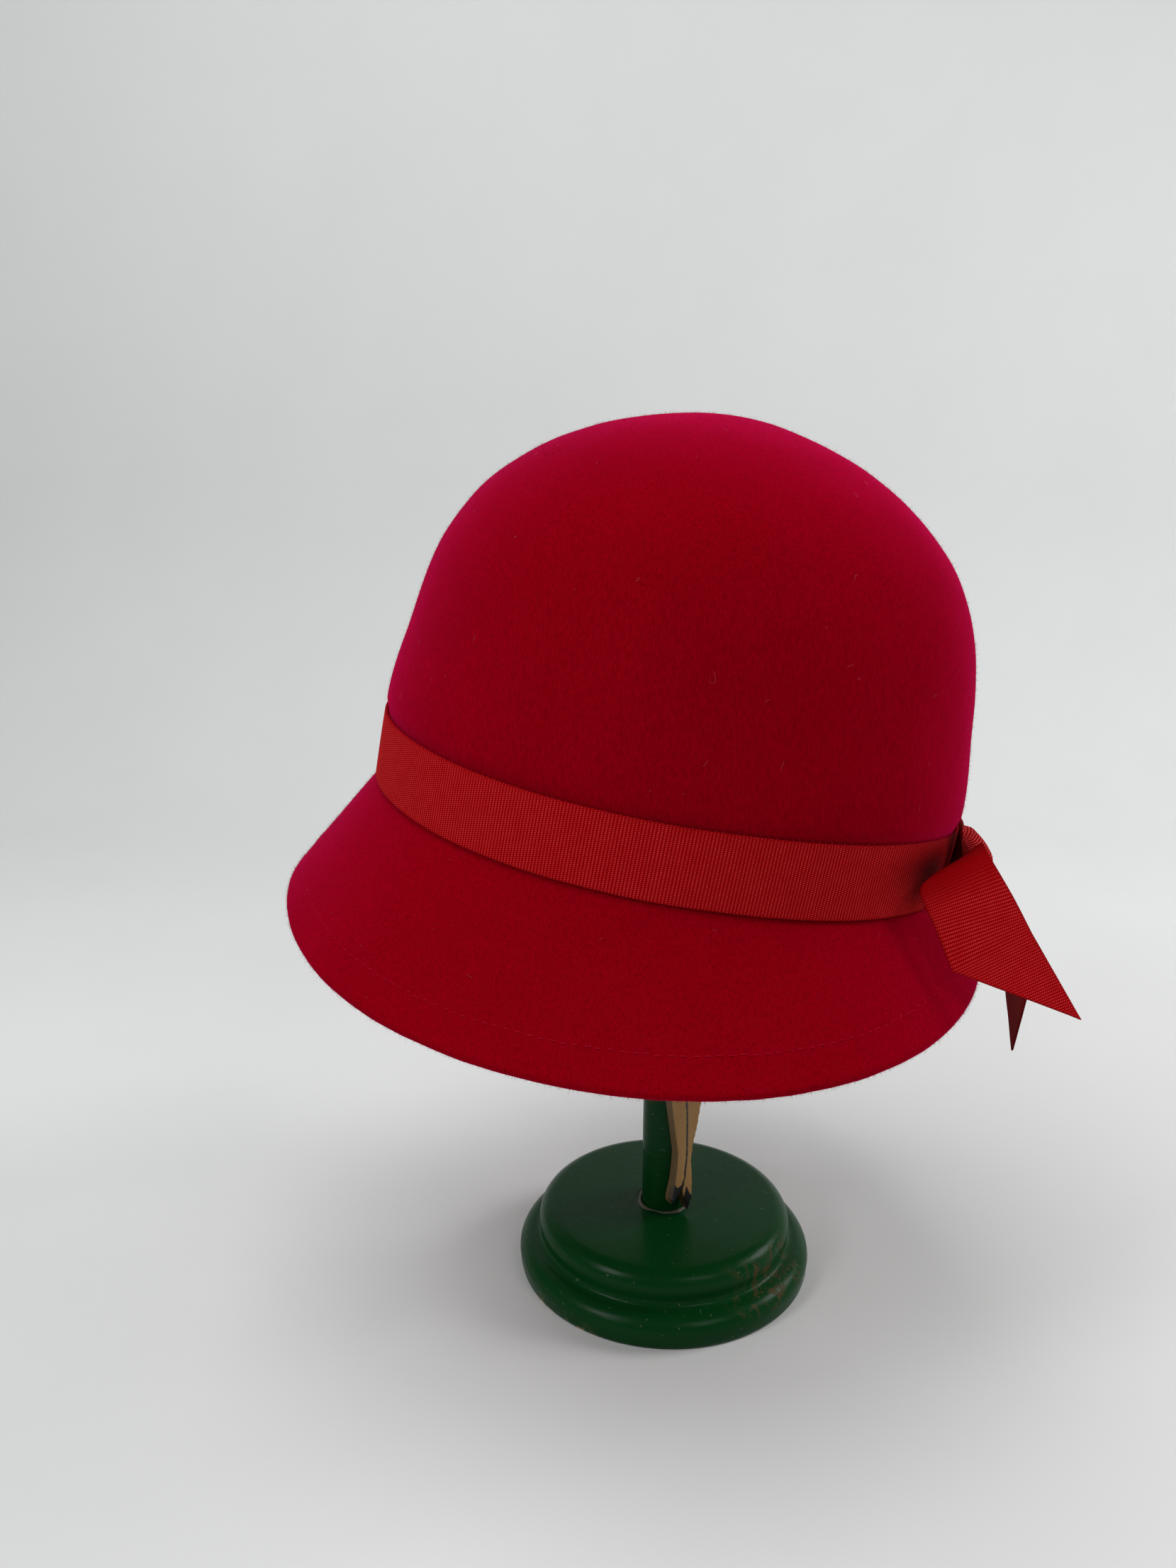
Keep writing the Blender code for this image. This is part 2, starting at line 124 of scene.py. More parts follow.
BOARD_OUTLINE = np.array((
    (-0.62, 1.0), (-0.60, 0.62), (-0.44, 0.348), (-0.32, 0.268), (-0.18, 0.178), (-0.19, 0.146),
    (-0.25, 0.094), (-0.37, 0.045), (-0.36, 0.032), (-0.20, 0.046), (-0.04, 0.074), (0.03, 0.042),
    (0.16, 0.0), (0.29, 0.036), (0.30, 0.078), (0.24, 0.147), (0.28, 0.187), (0.44, 0.250),
    (0.56, 0.321), (0.70, 0.62), (0.72, 1.0),
))
RIB_PITCH = 1.02 * MM
THREAD_PITCH = 0.64 * MM
STITCH_PITCH = 3.3 * MM
LOOP_PITCH = 2.1 * MM

# Where fibres stop along the felt: near the crown's top, and above the band
CROWN_END = -0.985
BAND_END = -0.105

# The board's painted marks, in millimetres across the board and up from the floor.
BOARD_LINE = np.array((
    (0.7, 150.0), (0.7, 70.9), (1.1, 63.1), (1.2, 54.8), (1.3, 50.2), (1.0, 45.0), (0.5, 39.1),
    (-0.6, 36.2),
))
BOARD_FEET = (
    np.array((
        (-3.7, 38.1), (-3.5, 36.4), (-2.4, 35.7), (-0.6, 36.5), (0.5, 37.3), (-0.3, 35.0),
        (-0.4, 33.2), (-2.2, 32.0), (-4.6, 29.0), (-5.8, 29.8), (-5.3, 34.3), (-4.4, 37.0),
    )),
    np.array((
        (1.3, 35.6), (2.5, 32.2), (4.6, 29.6), (4.2, 25.5), (2.2, 24.0), (0.9, 25.4), (0.6, 27.5),
        (0.4, 30.9),
    )),
)

# Where the base's paint is worn and where it is chipped, in degrees round from +X
WORN_AZIMUTH = 62
CHIP_AZIMUTH = -38

random = np.random.default_rng(7)


# Curves and surfaces
def smooth(knots, values, at):
    """Curve through values at the knots that never swings past them."""
    knots, values, at = (np.asarray(v, float) for v in (knots, values, at))
    flat = values.reshape(len(knots), -1)
    steps = np.diff(knots)[:, None]
    rises = np.diff(flat, axis=0) / steps
    slopes = np.concatenate([rises[:1], (rises[1:] + rises[:-1]) / 2, rises[-1:]])
    same = rises[1:] * rises[:-1] > 0
    safe = np.where(same, rises[1:] + rises[:-1], 1)
    slopes[1:-1] = np.where(same, 2 * rises[1:] * rises[:-1] / safe, 0)
    span = np.clip(np.searchsorted(knots, at) - 1, 0, len(knots) - 2)
    step = steps[span]
    share = (at - knots[span])[:, None] / step
    rise = share ** 2 * (3 - 2 * share)
    leave = share * (1 - share) ** 2 * step
    arrive = share ** 2 * (share - 1) * step
    read = flat[span] * (1 - rise) + flat[span + 1] * rise
    read += slopes[span] * leave + slopes[span + 1] * arrive
    return read.reshape((len(at),) + values.shape[1:])


WAVES = np.linalg.solve(np.cos(np.outer(np.radians(BRIM_TABLE[:, 0]), range(5))), BRIM_TABLE[:, 1:])


def brim_values(turn):
    """Length, slope in radians and seam height of the brim at each turn from the front."""
    length, slope, dip = (np.cos(turn[..., None] * np.arange(5)) @ WAVES).T
    return length.T * BRIM_LENGTH - HEM_THICKNESS / 2, np.radians(slope.T), -dip.T * RIBBON_WIDTH


def unit(vectors):
    return vectors / np.linalg.norm(vectors, axis=-1, keepdims=True)


def arc_length(points):
    """Length along a line of points, from 0."""
    return np.concatenate([[0], np.cumsum(np.linalg.norm(np.diff(points, axis=0), axis=1))])


def level_out(turn):
    return unit(np.stack([np.sin(turn) * HEAD_LENGTH / HEAD_WIDTH, -np.cos(turn), 0 * turn], -1))


def soft_step(x):
    x = np.clip(x, 0, 1)
    return x * x * (3 - 2 * x)


def crown(turn, climb):
    """Outer face of the crown, climb 0 at the seam and 1 at the top."""
    shape = climb.shape
    girth = smooth(np.linspace(0, 1, 9), CROWN_GIRTH, climb.ravel()).reshape(shape)
    _, _, seam = brim_values(turn)
    height = (CROWN_HEIGHT - seam) * np.sin(math.pi / 2 * climb)
    press = BAND_PRESS * (1 - soft_step((height - RIBBON_WIDTH) / PRESS_FADE))
    oval = np.stack([HEAD_WIDTH / 2 * np.sin(turn), -HEAD_LENGTH / 2 * np.cos(turn), 0 * turn], -1)
    point = oval * girth[..., None] - level_out(turn) * press[..., None]
    point[..., 2] += seam + height
    return point


def brim(turn, along):
    """Outer face of the brim, along 0 at the seam and 1 at the edge."""
    length, slope, _ = brim_values(turn)
    run = length * along
    point = crown(turn, 0 * along) + level_out(turn) * (run * np.cos(slope))[..., None]
    point[..., 2] -= run * np.sin(slope)
    return point


def felt_face(turn, along):
    """Outer face of the felt: -1 is the crown's top, 0 the seam, 1 the brim's edge."""
    turn, along = np.broadcast_arrays(turn, along)
    above, below = crown(turn, np.maximum(-along, 0)), brim(turn, np.maximum(along, 0))
    return np.where(along[..., None] < 0, above, below)


def felt_out(turn, along, reach=0.006):
    """Unit normals out of the felt."""
    turn, along = np.broadcast_arrays(turn, along)
    across = felt_face(turn + reach, along) - felt_face(turn - reach, along)
    down = felt_face(turn, np.minimum(along + reach, 1))
    down = down - felt_face(turn, np.maximum(along - reach, -0.999))
    return unit(-np.cross(across, down))


def crown_at(turn, height):
    """Outer face and normal of the crown at a height above the seam."""
    _, _, seam = brim_values(turn)
    climb = np.arcsin(height / (CROWN_HEIGHT - seam)) * 2 / math.pi
    return crown(turn, climb), felt_out(turn, -np.maximum(climb, 0.02))


def waves(points, scale, seed, octaves=3):
    """Smooth noise from sums of sines, about -1 to 1, the same on every run."""
    rng = np.random.default_rng(seed)
    total = np.zeros(points.shape[:-1])
    weight = 0
    for octave in range(octaves):
        part = np.zeros_like(total)
        for _ in range(6):
            direction = unit(rng.normal(size=3))
            part += np.sin(points @ direction * 2 * math.pi * 2 ** octave / scale + rng.uniform(0, 7))
        total += part / 2 / 2 ** octave
        weight += 1 / 2 ** octave
    return total / weight


HAT = Matrix.Translation(HAT_PLACE) @ Quaternion(
    Vector((-math.cos(LEAN_TURN), -math.sin(LEAN_TURN), 0)), LEAN).to_matrix().to_4x4()


def mesh_piece(name, points, faces, material, place=HAT, smooth_faces=True):
    mesh = bpy.data.meshes.new(name)
    mesh.from_pydata(np.asarray(points).tolist(), [], [list(map(int, face)) for face in faces])
    mesh.transform(place)
    if smooth_faces:
        mesh.shade_smooth()
    mesh.materials.append(material)
    mesh.update()
    made = bpy.data.objects.new(name, mesh)
    bpy.context.scene.collection.objects.link(made)
    return made


def face_outward(made):
    shape = bmesh.new()
    shape.from_mesh(made.data)
    bmesh.ops.recalc_face_normals(shape, faces=shape.faces)
    shape.to_mesh(made.data)
    shape.free()


def grid_faces(rows, columns, wrap_rows=False, wrap_columns=False, start=0):
    """Quads over a grid of points stored row by row."""
    i, j = np.meshgrid(np.arange(rows if wrap_rows else rows - 1),
                       np.arange(columns if wrap_columns else columns - 1), indexing="ij")
    i2, j2 = (i + 1) % rows, (j + 1) % columns
    quads = np.stack([i * columns + j, i * columns + j2, i2 * columns + j2, i2 * columns + j], -1)
    return quads.reshape(-1, 4) + start


def fan(tip, first, around, flip=False):
    """Triangles from one point to a ring of points."""
    pairs = [(first + k, first + (k + 1) % around) for k in range(around)]
    return [[tip, *(pair[::-1] if flip else pair)] for pair in pairs]


def set_layer(made, name, values):
    layer = made.data.attributes.new(name, "FLOAT", "POINT")
    layer.data.foreach_set("value", np.asarray(values, np.float32).ravel())


# Materials
class Nodes:
    """Shorthand for wiring one material."""

    def __init__(self, name):
        self.material = bpy.data.materials.new(name)
        self.material.use_nodes = True
        self.tree = self.material.node_tree
        self.shader = self.tree.nodes["Principled BSDF"]

    def link(self, value, socket):
        if isinstance(value, bpy.types.NodeSocket):
            self.tree.links.new(value, socket)
        else:
            socket.default_value = value

    def add(self, kind, **given):
        node = self.tree.nodes.new("ShaderNode" + kind)
        for key, value in given.items():
            self.link(value, node.inputs[key])
        return node

    def math(self, operation, a, b=0.0, c=0.0, clamp=False):
        node = self.add("Math")
        node.operation = operation
        node.use_clamp = clamp
        for socket, value in zip(node.inputs, (a, b, c)):
            self.link(value, socket)
        return node.outputs[0]

    def mix(self, share, a, b, blend="MIX"):
        node = self.add("Mix")
        node.data_type = "RGBA"
        node.blend_type = blend
        self.link(share, node.inputs["Factor"])
        self.link(a, node.inputs["A"])
        self.link(b, node.inputs["B"])
        return node.outputs["Result"]

    def noise(self, vector, scale, detail=2.0, roughness=0.5, distortion=0.0):
        return self.add("TexNoise", Vector=vector, Scale=scale, Detail=detail, Roughness=roughness,
                        Distortion=distortion).outputs["Fac"]

    def stretch(self, vector, scale):
        return self.add("Mapping", Vector=vector, Scale=scale).outputs[0]

    def ramp(self, value, stops):
        node = self.add("ValToRGB", Fac=value)
        ramp = node.color_ramp
        while len(ramp.elements) < len(stops):
            ramp.elements.new(0.5)
        for element, (place, colour) in zip(ramp.elements, stops):
            element.position = place
            element.color = colour if len(colour) == 4 else (*colour, 1)
        return node.outputs["Color"]

    def attribute(self, name):
        node = self.add("Attribute")
        node.attribute_name = name
        return node.outputs["Fac"]

    def place(self):
        return self.add("TexCoord").outputs["Object"]

    def bump(self, height, strength, distance):
        return self.add("Bump", Height=height, Strength=strength, Distance=distance).outputs[0]

    def set(self, **given):
        for key, value in given.items():
            self.link(value, self.shader.inputs[key.replace("_", " ")])


def felt_material():
    n = Nodes("felt_wool")
    place = n.place()
    cloud = n.noise(place, 28, 3, 0.55)
    blotch = n.noise(place, 110, 3, 0.6)
    nap = n.noise(n.stretch(place, (1.0, 1.0, 0.28)), 1500, 3, 0.65)
    grain = n.noise(place, 2600, 2, 0.6)
    base = n.mix(cloud, (0.225, 0.0003, 0.0042, 1), (0.285, 0.0004, 0.0062, 1))
    base = n.mix(n.math("MULTIPLY", blotch, 0.35), base, (0.195, 0.0002, 0.0030, 1))
    tufts = n.ramp(nap, [(0.34, (0.74, 0.74, 0.74)), (0.52, (1.0, 1.0, 1.0)), (0.70, (1.24, 1.2, 1.22))])
    base = n.mix(0.7, base, tufts, "MULTIPLY")
    # Painted sheen: a pink highlight mixed into the felt's colour where the surface is seen edge-on,
    # towards its outlines.
    away = n.math("POWER", n.add("LayerWeight").outputs["Facing"], 4.0)
    base = n.mix(n.math("MULTIPLY", away, 0.65), base, (0.46, 0.012, 0.085, 1))
    height = n.math("ADD", n.math("MULTIPLY", nap, 0.7), n.math("MULTIPLY", grain, 0.4))
    normal = n.bump(n.math("ADD", height, n.math("MULTIPLY", blotch, 0.4)), 0.4, 0.0005)
    n.set(Base_Color=base, Roughness=0.92, Normal=normal, Specular_IOR_Level=0.0, Sheen_Weight=0.45,
          Sheen_Roughness=0.42, Sheen_Tint=(0.75, 0.0, 0.085, 1))
    return n.material


def fuzz_material(name, colour):
    n = Nodes(name)
    tone = n.noise(n.place(), 400, 1)
    dim, bright = (tuple(c * gain for c in colour) + (1,) for gain in (0.8, 1.3))
    n.set(Base_Color=n.mix(tone, dim, bright), Roughness=0.85, Specular_IOR_Level=0.0)
    return n.material


def ribbon_material():
    """Grosgrain, read from attributes that are all 0 to 1 but for phase and thread.

    phase counts ribs and thread the threads along a rib; edge darkens the ribbon's edges with painted
    shade; calm marks a stretch without ribs; line joins the painted rib highlights into lines; and the
    shade layer is painted shade: a painted shadow on the band beside the bow, over the far tail and the
    near tail's top, and in the knot's grooves.
    """
    n = Nodes("grosgrain")
    # The ribbon's red, a shaded copy for painted shade and a lit copy for painted highlights.
    colour, shaded_red, lit = (0.34, 0.0004, 0.0024), (0.22, 0.0003, 0.0013), (0.88, 0.080, 0.088)
    place = n.place()
    calm = n.math("SUBTRACT", 1.0, n.attribute("calm"), clamp=True)
    phase = n.attribute("phase")
    rib = n.math("ABSOLUTE", n.math("COSINE", n.math("MULTIPLY", phase, math.pi)))
    row = n.math("MULTIPLY", n.math("FLOOR", n.math("ADD", phase, 0.5)), math.pi)
    beads = n.math("SINE", n.math("MULTIPLY_ADD", n.attribute("thread"), 2 * math.pi, row))
    beads = n.math("MULTIPLY_ADD", beads, 0.5, 0.5)
    # Where the painted rib highlights fall: dots along the threads, or whole lines where line is set.
    highlight_dots = n.math("MAXIMUM", n.math("POWER", beads, 2.2), n.attribute("line"))
    uneven = n.noise(place, 260, 2, 0.6)
    fine = n.noise(place, 2200, 2, 0.6)
    # Painted shade in the grooves between the ribs.
    groove_shade = n.math("MULTIPLY", calm, n.ramp(rib, [(0.10, (1, 1, 1)), (0.60, (0, 0, 0))]))
    base = n.mix(groove_shade, (*colour, 1), (*shaded_red, 1))
    # Painted highlights on the backs of the ribs.
    shine = n.math("MULTIPLY", n.math("POWER", rib, 3.0), n.math("MULTIPLY", highlight_dots, calm))
    shine = n.math("MULTIPLY", shine, n.math("MULTIPLY_ADD", uneven, 0.8, 0.25), clamp=True)
    base = n.mix(shine, base, (*lit, 1))
    # Painted shade along the ribbon's edges, from the edge layer.
    base = n.mix(n.math("MULTIPLY", n.attribute("edge"), 0.7), base, (*shaded_red, 1))
    base = n.mix(0.35, base, n.ramp(fine, [(0.3, (0.7, 0.7, 0.7)), (0.7, (1.3, 1.3, 1.3))]), "MULTIPLY")
    # Painted shade: a near-black red mixed in by the shade layer.
    base = n.mix(n.attribute("painted_shade"), base, (0.022, 0.0003, 0.0008, 1))
    height = n.math("MULTIPLY", n.math("MULTIPLY", beads, calm), 0.35)
    height = n.math("ADD", height, n.math("MULTIPLY", fine, 0.3))
    n.set(Base_Color=base, Roughness=n.math("MULTIPLY_ADD", uneven, 0.2, 0.5),
          Normal=n.bump(height, 0.35, 0.0002), Specular_IOR_Level=0.006)
    return n.material


def paint_material():
    n = Nodes("green_paint")
    place = n.place()
    wide = n.noise(place, 16, 3, 0.6)
    fine = n.noise(place, 900, 2, 0.6)
    brush = n.noise(n.stretch(place, (1, 1, 9)), 55, 3, 0.6)
    base = n.mix(wide, (0.0012, 0.032, 0.0055, 1), (0.0022, 0.050, 0.0100, 1))
    base = n.mix(n.math("MULTIPLY", brush, 0.4), base, (0.0016, 0.038, 0.0068, 1))
    specks = n.ramp(n.noise(place, 520, 1, 0.5), [(0.735, (0, 0, 0)), (0.76, (1, 1, 1))])
    base = n.mix(n.math("MULTIPLY", specks, 0.55), base, (0.10, 0.13, 0.09, 1))
    scratch = n.noise(n.stretch(place, (1, 1, 0.3)), 240, 4, 0.75, 0.6)
    scratch = n.ramp(scratch, [(0.50, (0, 0, 0)), (0.60, (1, 1, 1))])
    brown = n.math("MULTIPLY", n.attribute("worn"), scratch, clamp=True)
    base = n.mix(brown, base, (0.075, 0.045, 0.018, 1))
    flakes = n.ramp(n.noise(place, 190, 3, 0.7), [(0.50, (0, 0, 0)), (0.53, (1, 1, 1))])
    bare = n.math("MULTIPLY", n.attribute("chip"), flakes, clamp=True)
    base = n.mix(bare, base, (0.38, 0.26, 0.12, 1))
    rough = n.math("MULTIPLY_ADD", n.noise(place, 60, 3, 0.6), 0.16, 0.20)
    rough = n.math("ADD", rough, n.math("MULTIPLY", n.math("MAXIMUM", brown, bare), 0.4))
    height = n.math("ADD", n.math("MULTIPLY", brush, 0.9), n.math("MULTIPLY", fine, 0.10))
    height = n.math("SUBTRACT", height, n.math("MULTIPLY", bare, 0.8))
    n.set(Base_Color=base, Roughness=rough, Normal=n.bump(height, 0.28, 0.0006), Specular_IOR_Level=0.09)
    return n.material


def board_material():
    """Tan wood; attribute ink is the dark painted line and feet."""
    n = Nodes("tan_board")
    place = n.place()
    grain = n.noise(n.stretch(place, (1, 1, 0.08)), 700, 3, 0.6, 0.4)
    wide = n.noise(n.stretch(place, (1, 1, 0.3)), 120, 3, 0.6)
    base = n.mix(wide, (0.30, 0.155, 0.040, 1), (0.44, 0.255, 0.085, 1))
    base = n.mix(n.math("MULTIPLY", grain, 0.45), base, (0.24, 0.115, 0.03, 1))
    crack = n.ramp(n.noise(n.stretch(place, (1, 1, 3.0)), 180, 3, 0.6, 1.0),
                   [(0.30, (1, 1, 1)), (0.325, (0, 0, 0))])
    base = n.mix(n.math("MULTIPLY", crack, 0.6), base, (0.09, 0.04, 0.012, 1))
    ink = n.math("MULTIPLY_ADD", n.noise(place, 900, 2, 0.6), 0.25, n.attribute("ink"))
    ink = n.ramp(ink, [(0.52, (0, 0, 0)), (0.62, (1, 1, 1))])
    base = n.mix(ink, base, (0.006, 0.006, 0.006, 1))
    base = n.mix(n.math("MULTIPLY", n.attribute("side"), 0.8), base, (0.085, 0.052, 0.017, 1))
    n.set(Base_Color=base, Roughness=n.math("MULTIPLY_ADD", ink, -0.2, 0.62),
          Normal=n.bump(grain, 0.3, 0.0003))
    return n.material


def plain_material(name, colour, roughness, noise_scale=60, spread=0.08):
    n = Nodes(name)
    tone = n.noise(n.place(), noise_scale, 3, 0.55)
    low = tuple(c * (1 - spread) for c in colour) + (1,)
    high = tuple(min(1, c * (1 + spread)) for c in colour) + (1,)
    n.set(Base_Color=n.mix(tone, low, high), Roughness=roughness)
    return n.material


# The felt
AROUND = 256
TURNS = np.arange(AROUND) * 2 * math.pi / AROUND


def unevenness(points):
    """Hand-blocked felt: slow dents over the crown and a faint wave in the brim, in metres."""
    return waves(points, 0.16, 11, 2) * 0.45 * MM + waves(points, 0.028, 12, 2) * 0.10 * MM


def felt_surface(turn, along):
    """The dressed felt's outer face: the model's face with its small dents."""
    face, out = felt_face(turn, along), felt_out(turn, along)
    turn, along = np.broadcast_arrays(turn, along)
    band = 1 - soft_step((np.abs(along + 0.06) - 0.10) / 0.10)
    return face + out * (unevenness(face) * (1 - band))[..., None], out


def felt_piece(material):
    climbs = np.concatenate([np.linspace(-CROWN_END, 0.20, 56), np.linspace(0.19, 0.085, 16),
                             np.linspace(0.07, 0.0, 5)])
    outer = np.concatenate([-climbs, np.linspace(0.03, 1.0, 40)])
    rings = [felt_surface(TURNS, np.full(AROUND, along))[0] for along in outer]
    edge_face, edge_out = felt_surface(TURNS, np.ones(AROUND))
    down = unit(edge_face - felt_surface(TURNS, np.full(AROUND, 0.97))[0])
    middle = edge_face - edge_out * HEM_THICKNESS / 2
    wobble = 1 + 0.05 * waves(edge_face, 0.02, 21, 2)
    for angle in np.radians([20, 40, 60, 80, 100, 120, 140, 160]):
        rings.append(middle + (edge_out * math.cos(angle) + down * math.sin(angle)) * HEM_THICKNESS / 2
                     * wobble[:, None])
    length, _, _ = brim_values(TURNS)

    def inside(along, thickness):
        face, out = felt_surface(TURNS, along)
        rings.append(face - out * np.broadcast_to(thickness, TURNS.shape)[:, None])

    hem = 1 - HEM_DEPTH / length
    for share in np.linspace(0, 1, 9):
        inside(1 - share * (1 - hem), HEM_THICKNESS)
    inside(hem - 0.2 * MM / length, HEM_THICKNESS * 0.93)
    inside(hem - 0.5 * MM / length, FELT + 0.3 * MM)
    inside(hem - 0.9 * MM / length, FELT)
    for share in np.linspace(0.93, 0.03, 20):
        inside(hem * share, FELT)
    for climb in climbs[::-1]:
        inside(np.full(AROUND, -climb), FELT)
    points = np.concatenate(rings)
    faces = [list(q) for q in grid_faces(len(rings), AROUND, wrap_columns=True)]
    top_out = rings[0].mean(0) + [0, 0, 0.02 * MM]
    top_in = rings[-1].mean(0)
    count = len(points)
    points = np.concatenate([points, [top_out, top_in]])
    faces += fan(count, 0, AROUND, flip=True) + fan(count + 1, count - AROUND, AROUND)
    return mesh_piece("hat_felt", points, faces, material)


def sideways(out):
    """Random unit vectors across out, and a second set across both."""
    side = unit(np.cross(out, random.normal(size=out.shape)))
    return side, np.cross(out, side)


def three_around(centre, side, other, radius):
    return [centre + (side * math.cos(angle) + other * math.sin(angle)) * radius
            for angle in np.arange(3) * 2 * math.pi / 3]


def small_meshes(points, pattern):
    """Many copies of one small mesh: the same faces on each fibre's points."""
    points = np.stack(points, 1)
    faces = np.arange(len(points))[:, None, None] * points.shape[1] + np.array(pattern)[None]
    return points.reshape(-1, 3), faces.reshape(-1, 3)


def spikes(roots, out, lengths, lean, radius, bend):
    """Thin three-sided fibres with two bends; every fibre is a small closed mesh."""
    side, other = sideways(out)
    first = unit(out + side * lean[:, None])
    middle = roots + first * lengths[:, None] * 0.5
    second = unit(first + other * bend[:, None] + side * lean[:, None] * 0.6)
    tips = middle + second * lengths[:, None] * 0.5
    points = three_around(roots, side, other, radius) + three_around(middle, side, other, radius * 0.8)
    return small_meshes(points + [tips], [
        [0, 2, 1], [0, 1, 4], [0, 4, 3], [1, 2, 5], [1, 5, 4], [2, 0, 3], [2, 3, 5], [3, 4, 6],
        [4, 5, 6], [5, 3, 6],
    ])


def scatter_on_felt(count, low=CROWN_END, high=1.0):
    """Even random places on the outer felt, by area, off the band."""
    tries = count * 4
    turn = random.uniform(0, 2 * math.pi, tries)
    along = random.uniform(low, high, tries)
    reach = 0.004
    across = felt_face(turn + reach, along) - felt_face(turn - reach, along)
    lower, upper = (felt_face(turn, np.clip(along + step, -0.99, 1)) for step in (reach, -reach))
    down = lower - upper
    area = np.linalg.norm(np.cross(across, down), axis=-1)
    area[(along < 0) & (along > BAND_END)] = 0
    keep = random.uniform(0, np.quantile(area, 0.995), len(area)) < area
    return turn[keep][:count], along[keep][:count]


def hairs(roots, out, lengths, lean, radius):
    """Short straight fibres, each a closed spike of four triangles."""
    side, other = sideways(out)
    tips = roots + (out + side * lean[:, None]) / np.sqrt(1 + lean[:, None] ** 2) * lengths[:, None]
    points = three_around(roots, side, other, radius) + [tips]
    return small_meshes(points, [[0, 2, 1], [0, 1, 3], [1, 2, 3], [2, 0, 3]])


def nap_piece(name, low, high, count, material):
    """The felt's short standing fibres between two places along its surface."""
    turn, along = scatter_on_felt(count, low, high)
    face, out = felt_surface(turn, along)
    lengths = random.gamma(3.0, 0.22, len(turn)) * MM + 0.3 * MM
    lean = random.uniform(0.2, 1.6, len(turn))
    points, faces = hairs(face - out * 0.1 * MM, out, lengths, lean, 0.028 * MM)
    return mesh_piece(name, points, faces, material, smooth_faces=False)


def edge_fuzz_piece(material, count=14000):
    """Longer loose fibres around the brim's turned edge."""
    turn = random.uniform(0, 2 * math.pi, count)
    face, out = felt_surface(turn, np.ones(count))
    down = unit(face - felt_surface(turn, np.full(count, 0.97))[0])
    angle = random.uniform(-0.2, math.pi, count)[:, None]
    direction = out * np.cos(angle) + down * np.sin(angle)
    roots = face - out * HEM_THICKNESS / 2 + direction * HEM_THICKNESS * 0.48
    lengths = random.gamma(2.5, 0.26, count) * MM + 0.25 * MM
    points, faces = spikes(roots, direction, lengths, random.uniform(0.1, 1.2, count), 0.022 * MM,
                           random.normal(0, 0.6, count))
    return mesh_piece("brim_edge_fibres", points, faces, material, smooth_faces=False)


def tube(path, radius, sides=6, taper=True):
    """A closed tube along a path of points."""
    path = np.asarray(path, float)
    tangent = unit(np.gradient(path, axis=0))
    side = unit(np.cross(tangent, np.array([0.31, 0.52, 0.79])))
    other = np.cross(tangent, side)
    angles = np.arange(sides) * 2 * math.pi / sides
    share = np.linspace(0, 1, len(path))
    girth = radius * (np.sqrt(np.clip(np.sin(math.pi * share), 0.04, 1)) if taper else np.ones(len(path)))
    rings = path[:, None] + girth[:, None, None] * (
        side[:, None] * np.cos(angles)[None, :, None] + other[:, None] * np.sin(angles)[None, :, None])
    points = rings.reshape(-1, 3)
    faces = [list(q) for q in grid_faces(len(path), sides, wrap_columns=True)]
    faces.append(list(range(sides))[::-1])
    faces.append([(len(path) - 1) * sides + k for k in range(sides)])
    return points, faces


def join(parts):
    points, faces, start = [], [], 0
    for part_points, part_faces in parts:
        points.append(part_points)
        faces += [[index + start for index in face] for face in part_faces]
        start += len(part_points)
    return np.concatenate(points), faces


def lint_piece(material, count=120):
    """Stray pale hairs and specks lying on the felt."""
    parts = []
    steps = 9
    metres_per_turn, metres_per_along = 0.085, 0.11
    for t, a in zip(*scatter_on_felt(count)):
        size = random.gamma(2.0, 0.9)
        heading = random.uniform(0, 2 * math.pi)
        curl = random.normal(0, 0.45)
        ts, ls = [t], [a]
        for _ in range(steps - 1):
            heading += curl + random.normal(0, 0.35)
            ts.append(ts[-1] + math.cos(heading) * size * MM / steps / metres_per_turn)
            ls.append(ls[-1] + math.sin(heading) * size * MM / steps / metres_per_along)
        face, out = felt_surface(np.array(ts), np.clip(ls, -0.98, 0.99))
        lift = random.uniform(0.15, 0.45, steps) * MM
        parts.append(tube(face + out * lift[:, None], 0.03 * MM, 4))
    return mesh_piece("lint", *join(parts), material)


def stitch_row(material):
    """The row of short thread dashes that holds the turned edge."""
    turn = np.linspace(0, 2 * math.pi, 721)
    length, _, _ = brim_values(turn)
    line = felt_face(turn, 1 - HEM_DEPTH / length)
    run = arc_length(line)
    count = int(run[-1] / STITCH_PITCH)
    parts = []
    for i in range(count):
        start = (i + 0.15 * random.uniform(-1, 1)) * run[-1] / count
        ends = np.linspace(start, start + random.uniform(1.6, 2.1) * MM, 6)
        t = np.interp(ends, run, turn)
        depth = HEM_DEPTH + random.normal(0, 0.12) * MM
        face, out = felt_surface(t, 1 - depth / np.interp(t, turn, length))
        sink = np.array([-0.25, 0.02, 0.10, 0.10, 0.02, -0.25]) * MM
        parts.append(tube(face + out * sink[:, None], 0.17 * MM, 6, taper=False))
    return mesh_piece("brim_stitches", *join(parts), material)


# The ribbon
def rib_shape(phase):
    """Height of a rib, 0 in the groove and 1 on its back."""
    return np.abs(np.cos(math.pi * phase)) ** 0.8


